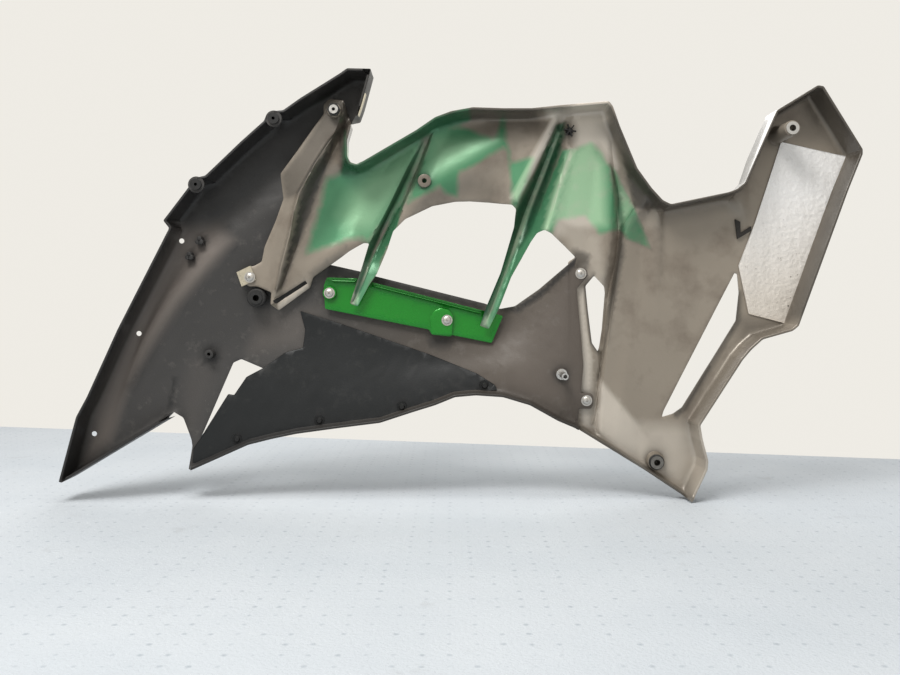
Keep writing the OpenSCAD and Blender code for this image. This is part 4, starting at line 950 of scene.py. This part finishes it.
lower_outline = (plan(BELLY_REAR, BELLY_RIM) + plan(BELLY_FRONT, BELLY_RIM) + plan(LOWER_LEG, LEG_DEPTH)
                 + plan(LOWER_TIP, 0) + plan(LOWER_FRONT, 0) + plan(LOWER_PEAK, 0)[1:]
                 + plan(LOWER_HIDDEN, RIM_DEPTH) + plan(LOWER_SEAM, RIM_DEPTH))
lower = shell(lower_face, lower_outline,
              [plan(LOWER_WINDOW, RIM_DEPTH)] + [circle(c, 2.6) for c in pins],
              [(plan(BELLY_REAR + BELLY_FRONT, BELLY_RIM), BELLY_RIM), (plan(LOWER_TIP, 0), 0),
               (plan(LOWER_FRONT + LOWER_PEAK[1:], 0), 0)],
              [(c, 4.6) for c in towers] + [(gusset, 7), (clip, 6), (front_point, 9), (stud, 6)]
              + [(c, 7) for c in plates], 4.2, 0, WALL, LOWER_FIELDS, relax=2)
chunks = [lower]
# The towers' prongs and the gusset's post carry heavier painted shade
for c in towers:
    top = ground(lower_face, c) - 10
    for degrees in (90, 210, 330):
        a = math.radians(degrees)
        prong = (c[0] + 2 * math.cos(a), c[1] + 2 * math.sin(a))
        chunks.append(post(lower_face, prong, 2.6, top, 0, flare=1, shade=0.6))
chunks.append(post(lower_face, gusset, 4.6, ground(lower_face, gusset) - 10, 1.6, flare=1, shade=0.6))
chunks.append(post(lower_face, front_point, 8.4, 27, 4.6, flare=1.5))
chunks.append(post(lower_face, clip, 6, 27, 0, flare=1))
chunks.append(post(lower_face, stud, 6, ground(lower_face, stud) - 1.5, 3.4, flare=1))
chunks += [post(lower_face, c, 6, LOWER_DEPTH + 2.5, 0, flare=1) for c in plates]
clip_r = 5.6 + WALL
chunks += [lathe(c, [(clip_r, 2.6), (clip_r, 0.4), (clip_r - 0.4, 0), (0, 0)]) for c in edge_clips]
build("lower_moulding", chunks, [DARK, BLACK], replaced=["lower_cowl"])

sheet_low = offset(plan(BELLY_FRONT, BELLY_RIM), RIM_WALL + 0.3, False)
sheet = shell(lower_face, list(sheet_low) + plan(SHEET_TOP, RIM_DEPTH), [], [],
              [(c, 3.2) for c in rivets], 5.0, -1.7, -0.3, corner=1.2, edge_round=0.5)
# The rivets' pads, in deep painted shade
pads = []
for c in rivets:
    d = ground(lower_face, c)
    pads.append(lathe(c, [(5.6, d - 0.6), (5.0, d - 2.3), (0, d - 2.4)], shade=0.9))
build("belly_sheet", [sheet] + pads, [sheet_plastic(), BLACK], replaced=["cover_sheet"])


def crumple(v):
    """The foil's slow waves."""
    x, z = v[:, 0], v[:, 1]
    return (0.16 * np.sin(0.37 * x + 0.21 * z) * np.sin(0.19 * z - 0.11 * x)
            + 0.10 * np.sin(0.83 * x - 0.47 * z + 1.3))


def reach(a, b, path, clear):
    """The point from a towards b that first comes within clear of the path."""
    a, b = np.array(a), np.array(b)
    spots = a + np.linspace(0, 1, 400)[:, None] * (b - a)
    near = segment_distance(spots, path) < clear
    return tuple(spots[max(int(np.argmax(near)) - 1, 0)]) if near.any() else tuple(b)


rear_path = plan(UPPER_REAR, 0)
FOIL_CLEAR = RIM_WALL + 0.5
top_left, top_right, low_right, *rest = plan(FOIL_OUTLINE, RIM_DEPTH)
bend = tuple(offset(rear_path, FOIL_CLEAR, False)[4])
foil_edge = [top_left, reach(top_left, top_right, rear_path, FOIL_CLEAR), bend,
             reach(rest[0], low_right, rear_path, FOIL_CLEAR), *rest]
foil_shell = shell(upper_face, foil_edge, [], [], [], 3.4, -1.1, -0.3,
                   corner=1.0, edge_round=0.4, bump=crumple)
build("heat_foil", [foil_shell], [FOIL, FOIL], replaced=["foil_shield"])

# The colour plate is flat, with its rolled lip in two lengths and a raised pad under each screw
PLATE = [[327.3, 277.5], [358.6, 278.5], [371, 282], [483.6, 310.7], [497, 314], [503, 316], [491.6, 343],
    [452, 335], [449.6, 336.5], [431.8, 334.5], [429, 329.5], [325, 308.8], [323.7, 285.6]]
PLATE_LIPS = [[[327.3, 277.5], [355, 278.4]], [[375.5, 283.1], [481, 310]]]
PAD = [[431.8, 334.5], [430, 318], [434, 311], [441, 308], [449, 310], [453, 316], [452, 335]]
flat = surface([[[300, 240, 4], [300, 380, 4]], [[530, 240, 4], [530, 380, 4]]], RIM_DEPTH, 1)
chunks = [shell(flat, plan(PLATE, LOWER_DEPTH), [], [(plan(p, LOWER_DEPTH), 31) for p in PLATE_LIPS],
                [(c, 7) for c in plates], 5, 0, 2.5, relax=0),
          lathe(plates[0], [(7.4, 34), (7, 33.2), (7, 31.4), (6.6, 31), (2.3, 31), (2.3, 34)], shade=0.1),
          shell(flat, plan(PAD, LOWER_DEPTH), [circle(plates[1], 2.3)], [], [], 3, -3, 0.4, relax=0)]
build("green_plate", chunks, [GREEN, GREEN], replaced=["colour_plate"])

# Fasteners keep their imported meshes, each with its own surface
SCREW = steel("screw_steel", (0.62, 0.60, 0.57), (0.42, 0.40, 0.37))
SLEEVE = steel("sleeve_steel", (0.68, 0.67, 0.65), (0.45, 0.44, 0.43), rough=(0.2, 0.38))
SPRING = steel("spring_steel", (0.66, 0.60, 0.46), (0.44, 0.40, 0.32), 0.85)
RUBBER = dull("rubber_black", (0.012, 0.012, 0.012), (0.026, 0.025, 0.024), (0.55, 0.8))
BLACKED = steel("blacked_steel", (0.05, 0.05, 0.05), (0.02, 0.02, 0.02), 0.6)
WORN = steel("worn_steel", (0.26, 0.25, 0.23), (0.12, 0.11, 0.10), 0.9)
NYLON = dull("nylon_black", (0.006, 0.006, 0.007), (0.014, 0.014, 0.013), (0.35, 0.55))
FOAM = dull("foam_black", (0.02, 0.018, 0.016), (0.05, 0.045, 0.04), (0.8, 0.95), 500.0)
SURFACES = [
    (SCREW, ["plate_screw_front", "plate_screw_rear", "clip_screw"]),
    (SCREW, ["strap_screw_upper", "strap_screw_lower"]),
    (SLEEVE, ["top_collar", "rear_upper_collar", "locating_stud"]),
    (SPRING, ["clip_nut", "edge_staple"]),
    (BLACKED, ["front_collar"]),
    (WORN, ["rear_lower_collar"]),
    (RUBBER, ["front_grommet", "rear_lower_grommet"]),
    (NYLON, ["top_nut", "star_clip", "edge_clip_upper", "edge_clip_lower"]),
    (NYLON, [f"sheet_rivet_{i}" for i in range(1, 5)]),
    (FOAM, ["edge_pad"]),
]
for material, names in SURFACES:
    for name in names:
        nodes[name].data.materials.clear()
        nodes[name].data.materials.append(material)

# The bench, just below the lowest point. Its far edge slants across the picture
BENCH = [(-3.2, -1.6), (2.4, -1.6), (2.4, -0.23), (-3.2, 1.04)]
bench_z = min(p.z for p in cad_box) - 0.0008
mesh = bpy.data.meshes.new("bench")
mesh.from_pydata([(x, y, bench_z) for x, y in BENCH], [], [(0, 1, 2, 3)])
floor = bpy.data.objects.new("bench", mesh)
bpy.context.scene.collection.objects.link(floor)
s = Shader("bench_cloth", Specular_IOR_Level=0.25)
cloth = s.mix(s.noise(7, 5), (0.47, 0.51, 0.55), (0.58, 0.61, 0.64))
dots = s.node("ShaderNodeTexVoronoi", Vector=s.coord, Scale=62.0, Randomness=0.06)
prick = s.band(dots.outputs["Distance"], 0.13, 0.2, 0.55, 0.0)
cloth = s.mix(prick, cloth, (0.27, 0.31, 0.35))
stain = s.band(s.noise(16, 8, 0.72), 0.62, 0.74)
s.colour(s.over(cloth, stain, 0.35, (0.30, 0.30, 0.30)))
s.rough(20, 3, 0.75, 0.9)
s.bump(s.maths("ADD", s.noise(26, 5), s.noise(420, 3)), 0.004, 0.35)
mesh.materials.append(s.material)

# Camera: square-on to the cover, as in the photograph
scene = bpy.context.scene
camera = bpy.data.objects.new("camera", bpy.data.cameras.new("camera"))
scene.collection.objects.link(camera)
camera.location = (-OX / 1000, (MOUTH - EYE_DISTANCE) / 1000, -OZ / 1000)
camera.rotation_euler = (math.radians(90), 0, 0)
camera.data.sensor_width = 36
camera.data.lens = camera.data.sensor_width * EYE_DISTANCE / PICTURE[0]
camera.data.shift_y = -(PICTURE[1] / 2 - EYE[1]) / PICTURE[0]
camera.data.clip_start = 0.05
scene.camera = camera


def area_light(name, place, target, size, energy, colour):
    light = bpy.data.objects.new(name, bpy.data.lights.new(name, "AREA"))
    light.data.shape = "RECTANGLE"
    light.data.size, light.data.size_y = size
    light.data.energy = energy
    light.data.color = colour
    light.location = place
    light.rotation_euler = (Vector(target) - Vector(place)).to_track_quat("-Z", "Y").to_euler()
    scene.collection.objects.link(light)


CENTRE = (-0.33, 0.03, -0.15)
area_light("key_light", (-0.85, -0.85, 1.05), CENTRE, (0.7, 0.5), 21, (1.0, 0.985, 0.96))
area_light("top_light", (-0.2, -0.25, 1.3), CENTRE, (1.2, 0.5), 10, (1.0, 0.985, 0.96))
area_light("back_light", (-0.3, 1.4, 0.9), CENTRE, (1.6, 1.0), 10, (1.0, 0.99, 0.98))

# The wall as the camera and the reflections see it, and a dimmer light from all round
world = bpy.data.worlds.new("world")
scene.world = world
world.use_nodes = True
tree = world.node_tree
path = tree.nodes.new("ShaderNodeLightPath")
seen = path.outputs["Is Camera Ray"]
for kind in ("Is Glossy Ray", "Is Transmission Ray"):
    either = tree.nodes.new("ShaderNodeMath")
    either.operation = "MAXIMUM"
    tree.links.new(seen, either.inputs[0])
    tree.links.new(path.outputs[kind], either.inputs[1])
    seen = either.outputs[0]
wall = tree.nodes.new("ShaderNodeMix")
wall.data_type = "RGBA"
tree.links.new(seen, wall.inputs[0])
wall.inputs[6].default_value = (0.46, 0.455, 0.44, 1)
wall.inputs[7].default_value = (0.86, 0.835, 0.78, 1)
tree.links.new(wall.outputs[2], tree.nodes["Background"].inputs[0])
scene.view_settings.view_transform = "Standard"
